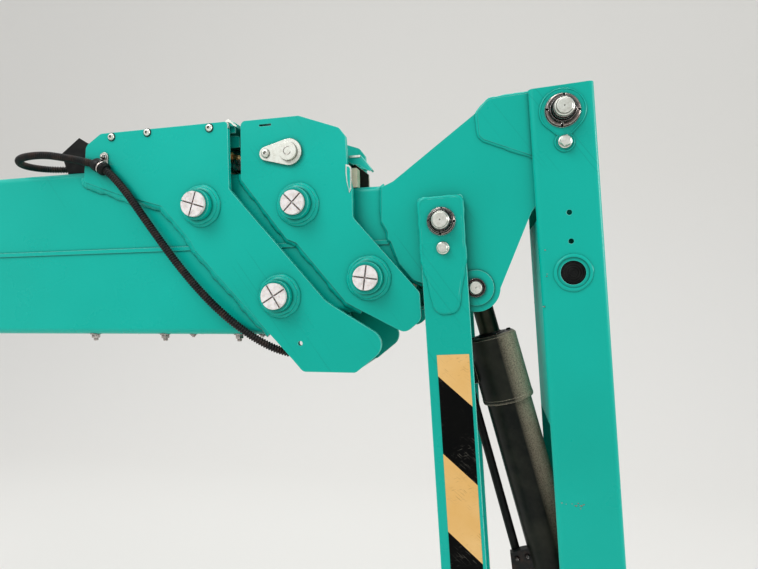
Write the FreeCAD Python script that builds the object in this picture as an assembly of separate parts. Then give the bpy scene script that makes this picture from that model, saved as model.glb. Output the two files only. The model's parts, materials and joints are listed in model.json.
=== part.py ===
import FreeCAD, Part
import math
import os

# Telescopic boom with a folded jib, from a self-propelled aerial work platform.
# Millimetres. +X runs along the boom to its head, +Z is up, and Y = 0 is the plane of symmetry.
# The origin is the centre of the rear pivot bore, on the level of the sections' lap welds.
# "Right" is the side with negative Y. The boom is retracted and the jib hangs folded.

V = FreeCAD.Vector
Y_AXIS = V(0, 1, 0)

# Outer section, measured from the lap weld line, and the room it leaves for the ones inside it
outer_width = 150.0
outer_top = 150.0
outer_bottom = -152.0
outer_wall = 6.0
inner_wall = 5.0
corner_radius = 12.0
side_room = 7.0
middle_top_room = 14.0
middle_bottom_room = 31.0
inner_top_room = 30.0
inner_bottom_room = 40.0
outer_rear = 60.0
middle_rear = 150.0
inner_rear = 230.0
lap_height = 7.0
lap_proud = 2.0
running_gap = 0.3
tail_gap = 10.0

# Outer nose
outer_nose = 2457.0
outer_collar_thickness = 8.0
outer_collar_rise = 64.0
outer_collar_drop = 60.0
tube_setback = 12.0
cover_thickness = 6.0
cover_back = 250.0
cover_ahead = 8.0
outer_low_pad_ahead = 140.0
lobe_plate_from = 130.0
lobe_plate_to = 216.0
lobe_hole_ahead = 124.0
lobe_hole_rise = 47.0
small_hole_radius = 4.0

# Middle nose: how far it stands ahead of the outer one, and the head ahead of it
nose_step = 207.0
head_step = 55.0
middle_collar_thickness = 10.0
middle_collar_rise = 86.0
middle_collar_drop = 34.0
collar_slot_back = 143.5
collar_slot_drop = 10.5
collar_slot_length = 22.0
collar_slot_width = 3.6
middle_low_pad_ahead = 95.0
middle_cover_back = 185.0
middle_cover_front = 86.0

# Pad adjusters: places from the nose and the lap weld line, and how far their slots are turned
OUTER_ADJUSTERS = [(-54.0, 72.0, 18), (89.0, -86.0, -31)]
MIDDLE_ADJUSTERS = [(-87.0, 67.0, 45), (33.0, -59.0, 8)]
boss_radius = 26.0
boss_ring_radius = 34.0
boss_ring_height = 4.0
boss_height = 20.0
outer_adjuster_radius = 21.5
middle_adjuster_radius = 20.0
adjuster_height = 27.0
adjuster_slot_width = 2.6
adjuster_slot_depth = 3.0
side_pad_radius = 28.0
pad_length = 70.0
pad_width = 80.0

# Chain pin and its keeper
chain_pin_back = 99.5
chain_pin_height = 155.5
chain_pin_radius = 16.0
keeper_radius = 22.0
keeper_tail = 41.5
keeper_tail_radius = 11.5
keeper_thickness = 5.0
keeper_cap_radius = 15.0
keeper_cap_height = 6.0

# Nylon block on the inner section's top and the keeper bracket over it, at the middle nose
block_length = 60.0
block_width = 36.0
block_ahead = 21.0
bracket_back = 60.0
bracket_rise = 16.0
bracket_hang = 9.0
bracket_tip_ahead = 9.0
bracket_tip_drop = 10.0

# Head and jib pivots
head_length = 281.0
jib_pivot_height = 184.0
link_back = 183.0
link_drop = 157.0
cylinder_back = 132.0
cylinder_drop = 262.0
head_thickness = 10.0
doubler_thickness = 4.0
washer_thickness = 4.5
nose_radius = 36.0
lug_radius = 38.0

# Pins
pin_radius = 20.0
pin_clearance = 0.05
arm_thread_radius = 17.5
arm_nut_radius = 26.0
arm_nut_height = 8.0
link_thread_radius = 15.0
link_nut_radius = 22.5
link_nut_height = 7.0
nut_slot_width = 5.0
nut_slot_depth = 3.5
tube_radius = 30.0
tube_gap = 6.0
tip_length = 15.0
tip_chamfer = 4.0

# Jib arm, in its own frame: its pivot is at the origin and it hangs along -Z
jib_length = 1250.0
jib_lean = 2.6
arm_depth = 94.0
arm_width = 150.0
arm_wall = 6.0
arm_corner = 8.0
arm_above = 39.0
arm_below = 45.0
head_window = 160.0
cylinder_window_start = 470.0
carrier_window_rear = 130.0
carrier_window_front = 60.0
keyhole_radius = 32.0
keyhole_drop = 47.0
keyhole_bolt_radius = 13.0
keyhole_thickness = 2.0
keyhole_neck = 8.6
plug_drop = 242.0
plug_hole_radius = 18.0
ARM_HOLE_DROPS = [152.0, 195.0]

# Links
link_width = 70.0
link_inner_face = 66.0
link_thickness = 12.0
link_above = 39.0
link_doubler_thickness = 3.0
tongue_length = 142.0
tongue_shoulder = 59.0
tongue_inset = 3.0
tongue_half_width = 15.0

# Jib cylinder
base_drop = 937.0
rod_radius = 17.0
barrel_radius = 37.0
barrel_bore = 31.0
gland_radius = 41.5
gland_length = 110.0
gland_to_eye = 82.0
cap_top = 52.0
eye_radius = 32.0
eye_width = 44.0
cylinder_pin_radius = 15.0
pin_stub_gap = 2.0
cylinder_boss_radius = 28.0
gland_chamfer = 4.0
gland_port_rise = 38.0
barrel_port_share = 0.288
port_height = 30.0
pipe_offset = 56.0
pipe_radius = 7.0

# Basket carrier
post_forward = 190.0
post_radius = 45.0
post_bore = 30.0
post_height = 180.0
gusset_thickness = 8.0
carrier_drop = 90.0
post_margin = 6.0
post_below = 20.0
gusset_rise = 14.0
gusset_low_rise = 12.0
gusset_from = 80.0

# Rear pivot and lift lugs
pivot_bore = 30.0
pivot_tube_radius = 45.0
pivot_lug_radius = 55.0
pivot_lug_thickness = 10.0
pivot_lug_reach = 360.0
lift_lug_x = 1200.0
lift_lug_drop = 60.0
lift_lug_bore = 20.0
lift_lug_radius = 40.0
lift_lug_gap = 60.0
lift_lug_thickness = 12.0

# Conduit: outside radius, and its route, with x from the outer nose: from the gland on the boom's top,
# round a loop, through the clip and down to the gland behind the collar's lower lobe
conduit_radius = 7.0
clip_share = 0.6
clip_width = 14.0
clip_thickness = 2.2
clip_clearance = 0.8
clip_tab_low = 150.0
clip_tab_top = 179.0
clip_tab_back = 252.0
clip_tab_width = 13.0
CLIP_FROM = (-285, -93, 164)
CLIP_TO = (-243, -93, 152)
ROUTE_FROM_NOSE = [
    (-139, 39, 162), (-195, 39, 162), (-253, 42, 171), (-309, 45, 185), (-367, 46, 190), (-426, 46, 188),
    (-467, 5, 182), (-467, -53, 178), (-426, -94, 180), (-371, -95, 182), (-323, -94, 173),
    CLIP_FROM, CLIP_TO, (-202, -93, 113), (-144, -93, 34), (-79, -93, -49),
    (-9, -92, -119), (59, -80, -169), (105, -60, -188), (143, -60, -188)]
gland_length_x = 26.0
gland_half = 12.0

middle_nose = outer_nose + nose_step
head_rear = middle_nose + head_step
boom_reach = head_rear + head_length

CONDUIT_ROUTE = [V(outer_nose + x, y, z) for x, y, z in ROUTE_FROM_NOSE]
JIB_PIVOT = V(boom_reach, 0, jib_pivot_height)
LINK_PIVOT = JIB_PIVOT + V(-link_back, 0, -link_drop)
CYLINDER_PIVOT = JIB_PIVOT + V(-cylinder_back, 0, -cylinder_drop)


def section_inside(around, top_room, bottom_room):
    """Section that runs inside another one, with room for its slide pads."""
    wall = around["wall"]
    return dict(width=around["width"] - 2 * (wall + side_room), top=around["top"] - wall - top_room,
                bottom=around["bottom"] + wall + bottom_room, wall=inner_wall, corner=around["corner"] - 1)


OUTER = dict(width=outer_width, top=outer_top, bottom=outer_bottom, wall=outer_wall, corner=corner_radius)
MIDDLE = section_inside(OUTER, middle_top_room, middle_bottom_room)
INNER = section_inside(MIDDLE, inner_top_room, inner_bottom_room)


def outline(rows):
    """Wire in the XZ plane through corners (x, z, radius), each corner rounded by its radius."""
    points = [V(row[0], 0, row[1]) for row in rows]
    edges = []
    ends = []
    for i, row in enumerate(rows):
        here, before, after = points[i], points[i - 1], points[(i + 1) % len(rows)]
        radius = row[2] if len(row) > 2 else 0
        if radius == 0:
            ends.append((here, here, None))
            continue
        to_before = (before - here).normalize()
        to_after = (after - here).normalize()
        half = to_before.getAngle(to_after) / 2
        reach = radius / math.tan(half)
        middle = (to_before + to_after).normalize()
        bulge = here + middle * (radius / math.sin(half) - radius)
        ends.append((here + to_before * reach, here + to_after * reach, bulge))
    for i, (start, end, bulge) in enumerate(ends):
        if bulge is not None:
            edges.append(Part.Arc(start, bulge, end).toShape())
        following = ends[(i + 1) % len(ends)][0]
        if (following - end).Length > 0.001:
            edges.append(Part.LineSegment(end, following).toShape())
    return Part.Wire(edges)


def plate(rows, near, far):
    """Flat plate with the outline's shape, from Y = near to Y = far."""
    face = Part.Face(outline(rows))
    face.translate(V(0, near, 0))
    return face.extrude(V(0, far - near, 0))


def rod_y(centre, radius, near, far):
    """Round bar along Y about a centre in the XZ plane."""
    return Part.makeCylinder(radius, far - near, V(centre.x, near, centre.z), Y_AXIS)


def block(x0, x1, y0, y1, z0, z1):
    return Part.makeBox(x1 - x0, y1 - y0, z1 - z0, V(x0, y0, z0))


def left_of(shape):
    """The same piece on the left side."""
    return shape.mirror(V(0, 0, 0), Y_AXIS)


def pair(shape):
    """One node that holds a right piece and its left twin."""
    return Part.makeCompound([shape, left_of(shape)])


def drill(shape, centre, radius):
    """Cuts a hole along Y through everything at that place."""
    reach = 400.0
    return shape.cut(rod_y(centre, radius, -reach, reach))


def save(name, shape):
    shape.exportStep("parts/%s.step" % name)


def box_section(section, rear, front):
    """Rounded rectangular tube along X."""
    def prism(inset):
        half = section["width"] / 2 - inset
        top = section["top"] - inset
        bottom = section["bottom"] + inset
        radius = section["corner"] - inset
        rows = [(-half, bottom, radius), (half, bottom, radius), (half, top, radius), (-half, top, radius)]
        face = Part.Face(outline(rows))
        face.rotate(V(0, 0, 0), V(0, 0, 1), 90)
        face.translate(V(rear, 0, 0))
        return face.extrude(V(front - rear, 0, 0))
    return prism(0).cut(prism(section["wall"]))


def lap_strips(section, rear, front):
    """The proud edge of the upper pressing where it laps over the lower one, on the right side."""
    side = section["width"] / 2
    return block(rear, front, -side - lap_proud, -side, -lap_height / 2, lap_height / 2)


def nose_cut(front_rows, section):
    """Everything ahead of a nose line that runs from the top down through the rows."""
    margin = 50.0
    far = 800.0
    half = section["width"] / 2 + margin
    top = section["top"] + margin
    bottom = section["bottom"] - margin
    rows = [(front_rows[0][0], top)] + front_rows + [(front_rows[-1][0], bottom)]
    rows += [(front_rows[-1][0] + far, bottom), (front_rows[-1][0] + far, top)]
    return plate(rows, -half, half)


def outer_collar_rows():
    """Side plate of the outer nose: x from the nose, z, corner radius."""
    nose = outer_nose
    top = OUTER["top"] + outer_collar_rise
    low = OUTER["bottom"] - outer_collar_drop
    return [(nose - 254, top, 14), (nose - 1, top, 6), (nose, 98, 0), (nose + 168, -94, 12),
            (nose + 182, -104, 0), (nose + 279, low + 49, 24), (nose + 218, low, 10),
            (nose + 128, low, 12), (nose + 111, low + 19, 0), (nose + 59, -138, 0),
            (nose - 67, -4, 4), (nose - 75, 12, 4), (nose - 131, 76, 14), (nose - 171, 88, 0),
            (nose - 219, 102, 20), (nose - 292, 129, 6), (nose - 286, 194, 14)]


def middle_collar_rows():
    """Side plate of the middle nose: x from the nose, z, corner radius."""
    nose = middle_nose
    top = MIDDLE["top"] + middle_collar_rise
    low = MIDDLE["bottom"] - middle_collar_drop
    return [(nose - 189, top, 9), (nose - 83, top, 8), (nose - 13, top - 26, 6),
            (nose - 2, top - 41, 8), (nose, 126, 6), (nose + 8, 87, 10), (nose + 8, 41, 14),
            (nose + 116, -84, 10), (nose + 118, low + 22, 14), (nose + 92, low, 16),
            (nose + 10, -107, 20), (nose - 6, -98, 0), (nose - 91, 3, 6), (nose - 108, 10, 6),
            (nose - 190, 116, 8)]


def outer_tube_nose():
    back = outer_nose - tube_setback
    return [(back, 98), (back + 168, -94), (back + 190, OUTER["bottom"])]


def middle_tube_nose():
    back = middle_nose - tube_setback + 3
    return [(back, 41), (back + 113, -84), (back + 120, MIDDLE["bottom"])]


def adjuster_places(nose, table):
    return [V(nose + dx, 0, z) for dx, z, turned in table]


def adjusters(name, nose, table, radius, face):
    """Threaded bosses with their weld rings, and the slotted pad adjusters in them."""
    bosses = []
    screws = []
    for centre, (dx, z, turned) in zip(adjuster_places(nose, table), table):
        boss = rod_y(centre, boss_radius, -face - boss_height, -face)
        boss = boss.fuse(rod_y(centre, boss_ring_radius, -face - boss_ring_height, -face))
        bosses.append(boss.cut(rod_y(centre, radius + pin_clearance, -face - 100, -face + 1)))
        screw = rod_y(centre, radius, -face - adjuster_height, -face)
        outside = -face - adjuster_height
        slot = block(-boss_radius, boss_radius, outside - 1, outside + adjuster_slot_depth,
                     -adjuster_slot_width / 2, adjuster_slot_width / 2)
        for turn in (turned, turned + 90):
            cross = slot.copy()
            cross.rotate(V(0, 0, 0), Y_AXIS, turn)
            cross.translate(centre)
            screw = screw.cut(cross)
        screws.append(screw)
    save(name + "_adjuster_bosses", Part.makeCompound(bosses + [left_of(b) for b in bosses]))
    save(name + "_adjusters", Part.makeCompound(screws + [left_of(s) for s in screws]))


def slide_pads(name, outer, inner, places, top_x, bottom_x):
    """Nylon pads inside a nose: round ones behind the adjusters, flat ones above and below."""
    wall = outer["width"] / 2 - outer["wall"]
    face = inner["width"] / 2 + running_gap
    pads = []
    for centre in places:
        side = rod_y(centre, side_pad_radius, -wall, -face)
        pads += [side, left_of(side)]
    half = pad_width / 2
    if top_x is not None:
        pads.append(block(top_x - pad_length, top_x, -half, half,
                          inner["top"] + running_gap, outer["top"] - outer["wall"]))
    pads.append(block(bottom_x - pad_length, bottom_x, -half, half,
                      outer["bottom"] + outer["wall"], inner["bottom"] - running_gap))
    save(name, Part.makeCompound(pads))


def tail_pads(name, outer, inner, rear):
    """Nylon pads on the tail of a section, which bear on the inside of the section around it."""
    wall = outer["width"] / 2 - outer["wall"] - running_gap
    face = inner["width"] / 2
    half = pad_width / 2
    side = block(rear, rear + pad_length, -wall, -face, -half, half)
    top = block(rear, rear + pad_length, -half, half,
                inner["top"], outer["top"] - outer["wall"] - running_gap)
    bottom = block(rear, rear + pad_length, -half, half,
                   outer["bottom"] + outer["wall"] + running_gap, inner["bottom"])
    save(name, Part.makeCompound([side, left_of(side), top, bottom]))


def outer_boom():
    side = OUTER["width"] / 2
    rows = outer_tube_nose()
    tube = box_section(OUTER, outer_rear, rows[-1][0] + 20)
    tube = tube.cut(nose_cut(rows, OUTER))
    strip = lap_strips(OUTER, outer_rear, outer_nose - 76)
    save("outer_boom_tube", tube.fuse([strip, left_of(strip)]))
    places = adjuster_places(outer_nose, OUTER_ADJUSTERS)
    low = OUTER["bottom"] - outer_collar_drop
    right = plate(outer_collar_rows(), -side - outer_collar_thickness, -side)
    right = drill(right, V(outer_nose + lobe_hole_ahead, 0, low + lobe_hole_rise), small_hole_radius)
    save("outer_collar_plates", pair(right))
    adjusters("outer", outer_nose, OUTER_ADJUSTERS, outer_adjuster_radius, side + outer_collar_thickness)
    slide_pads("outer_nose_pads", OUTER, MIDDLE, places, outer_nose - 30, outer_nose + outer_low_pad_ahead)
    top = OUTER["top"] + outer_collar_rise
    cover = block(outer_nose - cover_back, outer_nose + cover_ahead, -side, side, top - cover_thickness, top)
    base = block(outer_nose + lobe_plate_from, outer_nose + lobe_plate_to, -side, side,
                 low, low + cover_thickness)
    save("outer_collar_covers", Part.makeCompound([cover, base]))


def rear_pivot():
    """Lugs and cross tube of the boom's rear pivot, whose bore is the origin."""
    side = OUTER["width"] / 2
    centre = V(0, 0, 0)
    front = outer_rear + pivot_lug_reach
    rows = [(front, 90, 20), (front, -90, 20), (outer_rear + 100, -120, 60),
            (0, -pivot_lug_radius, 0), (0, pivot_lug_radius, 0), (outer_rear + 100, 120, 60)]
    lug = plate(rows, -side - pivot_lug_thickness, -side)
    lug = lug.fuse(rod_y(centre, pivot_lug_radius, -side - pivot_lug_thickness, -side))
    slot = block(outer_rear, front + 1, -side - lap_proud, -side,
                 -lap_height / 2, lap_height / 2)
    lug = drill(lug.removeSplitter(), centre, pivot_bore).cut(slot)
    save("pivot_lugs", pair(lug))
    tube = rod_y(centre, pivot_tube_radius, -side, side)
    save("pivot_tube", drill(tube, centre, pivot_bore))


def lift_lugs():
    """Pair of lugs under the outer section for the lift cylinder's pin."""
    low = OUTER["bottom"]
    centre = V(lift_lug_x, 0, low - lift_lug_drop)
    half = lift_lug_gap / 2
    rows = [(lift_lug_x - 110, low, 0), (lift_lug_x + 110, low, 0),
            (lift_lug_x + 36, centre.z - 16, 0), (lift_lug_x - 36, centre.z - 16, 0)]
    lug = plate(rows, -half - lift_lug_thickness, -half)
    lug = lug.fuse(rod_y(centre, lift_lug_radius, -half - lift_lug_thickness, -half))
    lug = drill(lug.removeSplitter(), centre, lift_lug_bore)
    save("lift_lugs", pair(lug))


def middle_boom():
    side = MIDDLE["width"] / 2
    rows = middle_tube_nose()
    tube = box_section(MIDDLE, middle_rear, rows[-1][0] + 20)
    tube = tube.cut(nose_cut(rows, MIDDLE))
    strip = lap_strips(MIDDLE, middle_rear + pad_length + tail_gap, middle_nose - 96)
    save("middle_boom_tube", tube.fuse([strip, left_of(strip)]))
    places = adjuster_places(middle_nose, MIDDLE_ADJUSTERS)
    centre = V(middle_nose - chain_pin_back, 0, chain_pin_height)
    rows = middle_collar_rows()
    right = plate(rows, -side - middle_collar_thickness, -side)
    right = drill(right, centre, chain_pin_radius)
    top = MIDDLE["top"] + middle_collar_rise
    middle = V(middle_nose - collar_slot_back, 0, top - collar_slot_drop)
    slot = block(-collar_slot_length / 2, collar_slot_length / 2, -side - 50, -side + 50,
                 -collar_slot_width / 2, collar_slot_width / 2)
    slot.translate(middle)
    save("middle_collar_plates", pair(right.cut(slot)))
    adjusters("middle", middle_nose, MIDDLE_ADJUSTERS, middle_adjuster_radius, side + middle_collar_thickness)
    slide_pads("middle_nose_pads", MIDDLE, INNER, places, None, middle_nose + middle_low_pad_ahead)
    tail_pads("middle_tail_pads", OUTER, MIDDLE, middle_rear)
    save("middle_collar_cover", block(middle_nose - middle_cover_back, middle_nose - middle_cover_front, -side, side,
                                      top - cover_thickness, top))
    chain_pin(centre, side + middle_collar_thickness)
    top_pad()


def chain_pin(centre, face):
    """Pin across the middle collar, with a teardrop keeper plate on the right."""
    pin = rod_y(centre, chain_pin_radius - pin_clearance, -face, face)
    save("chain_pin", pin)
    tail = centre + V(-keeper_tail, 0, 0)
    keeper = rod_y(centre, keeper_radius, -face - keeper_thickness, -face)
    keeper = keeper.fuse(rod_y(tail, keeper_tail_radius, -face - keeper_thickness, -face))
    slope = math.acos((keeper_radius - keeper_tail_radius) / keeper_tail)
    belt = []
    for sign in (1, -1):
        up = V(-math.cos(slope), 0, sign * math.sin(slope))
        belt.append((centre + up * keeper_radius, tail + up * keeper_tail_radius))
    rows = [(p.x, p.z) for p in (belt[0][0], belt[0][1], belt[1][1], belt[1][0])]
    keeper = keeper.fuse(plate(rows, -face - keeper_thickness, -face)).removeSplitter()
    cap = rod_y(centre, keeper_cap_radius, -face - keeper_thickness - keeper_cap_height,
                -face - keeper_thickness)
    save("chain_pin_keeper", keeper.fuse(cap).removeSplitter())


def top_pad():
    """Nylon blocks on the inner section's top, under brackets that hang over the tube's nose."""
    low = INNER["top"] + running_gap
    over = MIDDLE["top"]
    seat = over - bracket_hang
    front = middle_nose + block_ahead
    half = INNER["width"] / 2
    inside = -half + block_width
    save("middle_top_pad", pair(block(front - block_length, front, -half, inside, low, seat)))
    rear = middle_nose - bracket_back
    nose = middle_tube_nose()[0][0]
    tip = V(front + bracket_tip_ahead, 0, seat - bracket_tip_drop)
    rows = [(rear, over), (nose, over), (nose, seat), (front + 1, seat), (tip.x - 6, tip.z - 5),
            (tip.x, tip.z), (front - 5, over + bracket_rise, 4), (rear, over + bracket_rise)]
    save("middle_pad_keeper", pair(plate(rows, -half, inside)))


def inner_boom():
    front = LINK_PIVOT.x - tube_radius - tube_gap
    tube = box_section(INNER, inner_rear, front)
    strip = lap_strips(INNER, inner_rear + pad_length + tail_gap, head_rear + 8)
    save("inner_boom_tube", tube.fuse([strip, left_of(strip)]))
    tail_pads("inner_tail_pads", MIDDLE, INNER, inner_rear)


def head_rows():
    """Side plate of the head: x, z, corner radius."""
    a, c = JIB_PIVOT, CYLINDER_PIVOT
    top = a.z + nose_radius
    return [(head_rear, INNER["top"] - 5, 4), (head_rear + 19, INNER["top"] + 3, 20),
            (a.x - 125, top - 21, 14), (a.x - 106, top - 2, 10), (a.x - 51, top, 0),
            (a.x + nose_radius, top, nose_radius), (a.x + nose_radius, a.z - 30, 30),
            (a.x - 46, a.z - 147, 0), (c.x + 33, c.z - 13, 0), (c.x, c.z - 10, 0),
            (c.x - 20, c.z - 28, 0), (head_rear + 65, INNER["bottom"] + 1, 10),
            (head_rear + 50, INNER["bottom"] + 6, 20), (head_rear + 27, -36, 20),
            (head_rear + 14, 0, 6), (head_rear + 9, 4, 6), (head_rear + 9, 16, 10),
            (head_rear - 1, 34, 10)]


def head():
    side = INNER["width"] / 2
    outside = side + head_thickness
    holes = [(JIB_PIVOT, pin_radius + pin_clearance), (LINK_PIVOT, pin_radius + pin_clearance),
             (CYLINDER_PIVOT, cylinder_pin_radius)]
    right = plate(head_rows(), -outside, -side)
    right = right.fuse(rod_y(CYLINDER_PIVOT, lug_radius, -outside, -side)).removeSplitter()
    for centre, radius in holes:
        right = drill(right, centre, radius)
    save("head_plates", pair(right))
    a = JIB_PIVOT
    top = a.z + nose_radius
    rows = [(a.x - 125, a.z + 12, 6), (a.x - 106, top - 4, 10), (a.x - 51, top - 1, 0),
            (a.x + nose_radius - 1, top - 1, nose_radius - 1), (a.x + nose_radius - 1, a.z - 32, 24),
            (a.x - 10, a.z - 76, 20), (a.x - 52, a.z - 57, 0), (a.x - 116, a.z - 30, 6),
            (a.x - 122, a.z - 24, 6)]
    doubler = plate(rows, -outside - doubler_thickness, -outside)
    save("head_doublers", pair(drill(doubler, a, pin_radius + pin_clearance)))
    washer = rod_y(a, nose_radius - 4, -outside - doubler_thickness - washer_thickness,
                   -outside - doubler_thickness)
    link_washer = rod_y(LINK_PIVOT, nose_radius - 6, -link_inner_face + 0.5, -outside)
    washers = [drill(washer, a, pin_radius + pin_clearance),
               drill(link_washer, LINK_PIVOT, pin_radius + pin_clearance)]
    tubes = []
    for centre in (JIB_PIVOT, LINK_PIVOT):
        tubes.append(drill(rod_y(centre, tube_radius, -side, side), centre, pin_radius + pin_clearance))
    rings = cylinder_pin(side, outside)
    save("head_bushes", Part.makeCompound(tubes + washers + rings + [left_of(w) for w in washers + rings]))
    top_web()


def top_web():
    """Web between the head plates along their sloping top edge."""
    side = INNER["width"] / 2
    a = JIB_PIVOT
    top = a.z + nose_radius
    thick = 8.0
    corner = V(head_rear + 19, 0, INNER["top"] + 3)
    end = V(a.x - 125, 0, top - 22)
    along = (end - corner).normalize()
    start = corner + along * (thick / along.z)
    down = V(along.z, 0, -along.x) * thick
    rows = [(p.x, p.z) for p in (start, end, end + down, start + down)]
    save("head_top_web", plate(rows, -side, side))


def cylinder_pin(side, outside):
    """Ends of the rod pin in the head's lugs. Returns the rings around them, inside and outside."""
    c = CYLINDER_PIVOT
    inner = eye_width / 2 + pin_stub_gap
    stub = rod_y(c, cylinder_pin_radius, -outside - 6, -inner)
    save("cylinder_pin_ends", pair(stub))
    return [rod_y(c, cylinder_boss_radius, -side, -inner).cut(stub),
            rod_y(c, cylinder_boss_radius, -outside - 3, -outside).cut(stub)]


def hang(shape):
    """Puts a piece from the arm's own frame, with the jib's lean, on the jib pivot."""
    placed = shape.copy()
    placed.rotate(V(0, 0, 0), Y_AXIS, -jib_lean)
    placed.translate(JIB_PIVOT)
    return placed


def nut(centre, face, radius, bore, height):
    """Round nut with four slots, on the right side."""
    body = rod_y(centre, radius, -face - height, -face)
    body = body.cut(rod_y(centre, bore, -face - height - 1, -face + 1))
    for turn in (0, 90, 180, 270):
        slot = block(radius - nut_slot_depth, radius + 5, -face - height - 1, -face + 1,
                     -nut_slot_width / 2, nut_slot_width / 2)
        slot.rotate(V(0, 0, 0), Y_AXIS, turn + 20)
        slot.translate(centre)
        body = body.cut(slot)
    return body


def through_pin(centre, shoulder, thread, tip):
    """Pin with a reduced thread and a chamfered tip at both ends."""
    pin = rod_y(centre, pin_radius, -shoulder, shoulder)
    neck = tip - tip_chamfer
    pin = pin.fuse(rod_y(centre, thread - pin_clearance, -neck, neck))
    cone = Part.makeCone(thread - pin_clearance, thread - tip_chamfer, tip_chamfer, V(centre.x, -neck, centre.z),
                         V(0, -1, 0))
    return pin.fuse([cone, left_of(cone)]).removeSplitter()


def jib_arm():
    half = arm_depth / 2
    side = arm_width / 2
    origin = V(0, 0, 0)
    foot = V(0, 0, -jib_length)
    base = V(0, 0, -base_drop)

    def prism(inset):
        rows = [(-half + inset, -side + inset, arm_corner - inset), (half - inset, -side + inset, arm_corner - inset),
                (half - inset, side - inset, arm_corner - inset), (-half + inset, side - inset, arm_corner - inset)]
        face = Part.Face(outline(rows))
        face.rotate(origin, V(1, 0, 0), -90)
        face.translate(V(0, 0, arm_above))
        return face.extrude(V(0, 0, -arm_above - jib_length - arm_below))

    inner_side = side - arm_wall
    arm = prism(0).cut(prism(arm_wall))
    rear = -half - 1
    rear_in = -half + arm_wall + 3
    front_in = half - arm_wall - 3
    end = -jib_length - arm_below - 1
    cuts = [block(rear, rear_in, -inner_side, inner_side, -head_window, arm_above + 1),
            block(rear, rear_in, -inner_side, inner_side, -base_drop - 40, -cylinder_window_start),
            block(rear, rear_in, -inner_side, inner_side, end, -jib_length + carrier_window_rear),
            block(front_in, half + 1, -inner_side, inner_side, end, -jib_length + carrier_window_front)]
    for piece in cuts:
        arm = arm.cut(piece)
    arm = drill(arm, origin, pin_radius)
    arm = drill(arm, foot, pin_radius)
    arm = drill(arm, base, cylinder_pin_radius)
    plug_place = V(0, 0, -plug_drop)
    arm = arm.cut(rod_y(plug_place, plug_hole_radius, -side - 1, -inner_side + 1))
    arm = arm.cut(rod_y(plug_place, plug_hole_radius, inner_side - 1, side + 1))
    for drop in ARM_HOLE_DROPS:
        arm = drill(arm, V(0, 0, -drop), small_hole_radius)
    save("jib_arm", hang(arm))
    plug = rod_y(plug_place, plug_hole_radius - pin_clearance, -side + 2, -inner_side)
    save("arm_plugs", hang(pair(plug)))

    shoulder = keyhole_radius * 0.7
    throat = keyhole_drop - keyhole_bolt_radius + 2
    neck = [(-shoulder, shoulder), (shoulder, shoulder), (keyhole_neck, throat), (keyhole_neck / 2, keyhole_drop),
            (-keyhole_neck / 2, keyhole_drop), (-keyhole_neck, throat)]
    pads = []
    nuts = []
    pins = []
    for centre, sign in ((origin, 1), (foot, -1)):
        at_bolt = centre - V(0, 0, sign * keyhole_drop)
        outer = -side - keyhole_thickness
        joint = plate([(centre.x + x, centre.z - sign * drop) for x, drop in neck], outer, -side)
        pad = rod_y(centre, keyhole_radius, outer, -side)
        pad = pad.fuse([joint, rod_y(at_bolt, keyhole_bolt_radius, outer, -side)]).removeSplitter()
        pads.append(pad.cut(rod_y(centre, pin_radius, -side - 50, -side + 50)))
        face = side + keyhole_thickness
        nuts.append(nut(centre, face, arm_nut_radius, arm_thread_radius, arm_nut_height))
        pins.append(through_pin(centre, face, arm_thread_radius, face + arm_nut_height + tip_length))
    save("arm_keyhole_pads", hang(Part.makeCompound(pads + [left_of(p) for p in pads])))
    save("arm_pins", hang(Part.makeCompound(pins)))
    save("arm_nuts", hang(Part.makeCompound(nuts + [left_of(n) for n in nuts])))
    spacer = rod_y(base, 24.0, -inner_side, -eye_width / 2 - 3)
    spacer = spacer.cut(rod_y(base, cylinder_pin_radius, -200, 200))
    save("cylinder_spacers", hang(pair(spacer)))
    pin = rod_y(base, cylinder_pin_radius, -side - 6, side + 6)
    save("cylinder_base_pin", hang(pin))


def jib_links():
    """Pair of flat links beside the arm, in the arm's frame but hung on the link pivot."""
    def hang_link(shape):
        placed = shape.copy()
        placed.rotate(V(0, 0, 0), Y_AXIS, -jib_lean)
        placed.translate(LINK_PIVOT)
        return placed

    half = link_width / 2
    near = link_inner_face + link_thickness
    origin = V(0, 0, 0)
    foot = V(0, 0, -jib_length)
    rows = [(-half, link_above, 4), (half, link_above, 4), (half, -jib_length - half, half - 0.5),
            (-half, -jib_length - half, half - 0.5)]
    link = plate(rows, -near, -link_inner_face)
    for centre in (origin, foot):
        link = drill(link, centre, pin_radius)
    save("jib_links", hang_link(pair(link)))
    inset = half - tongue_inset
    narrow = tongue_half_width
    top = link_above - tongue_inset
    rows = [(-inset, top, 9), (inset, top, 9), (inset, -tongue_shoulder, 4), (narrow, -tongue_length, narrow - 0.5),
            (-narrow, -tongue_length, narrow - 0.5), (-inset, -tongue_shoulder, 4)]
    doubler = plate(rows, -near - link_doubler_thickness, -near)
    save("link_doublers", hang_link(pair(drill(doubler, origin, pin_radius))))
    pins = []
    nuts = []
    for centre, face in ((origin, near + link_doubler_thickness), (foot, near)):
        pins.append(through_pin(centre, face, link_thread_radius, face + link_nut_height + tip_length))
        nuts.append(nut(centre, face, link_nut_radius, link_thread_radius, link_nut_height))
    save("link_pins", hang_link(Part.makeCompound(pins)))
    save("link_nuts", hang_link(Part.makeCompound(nuts + [left_of(n) for n in nuts])))


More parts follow.
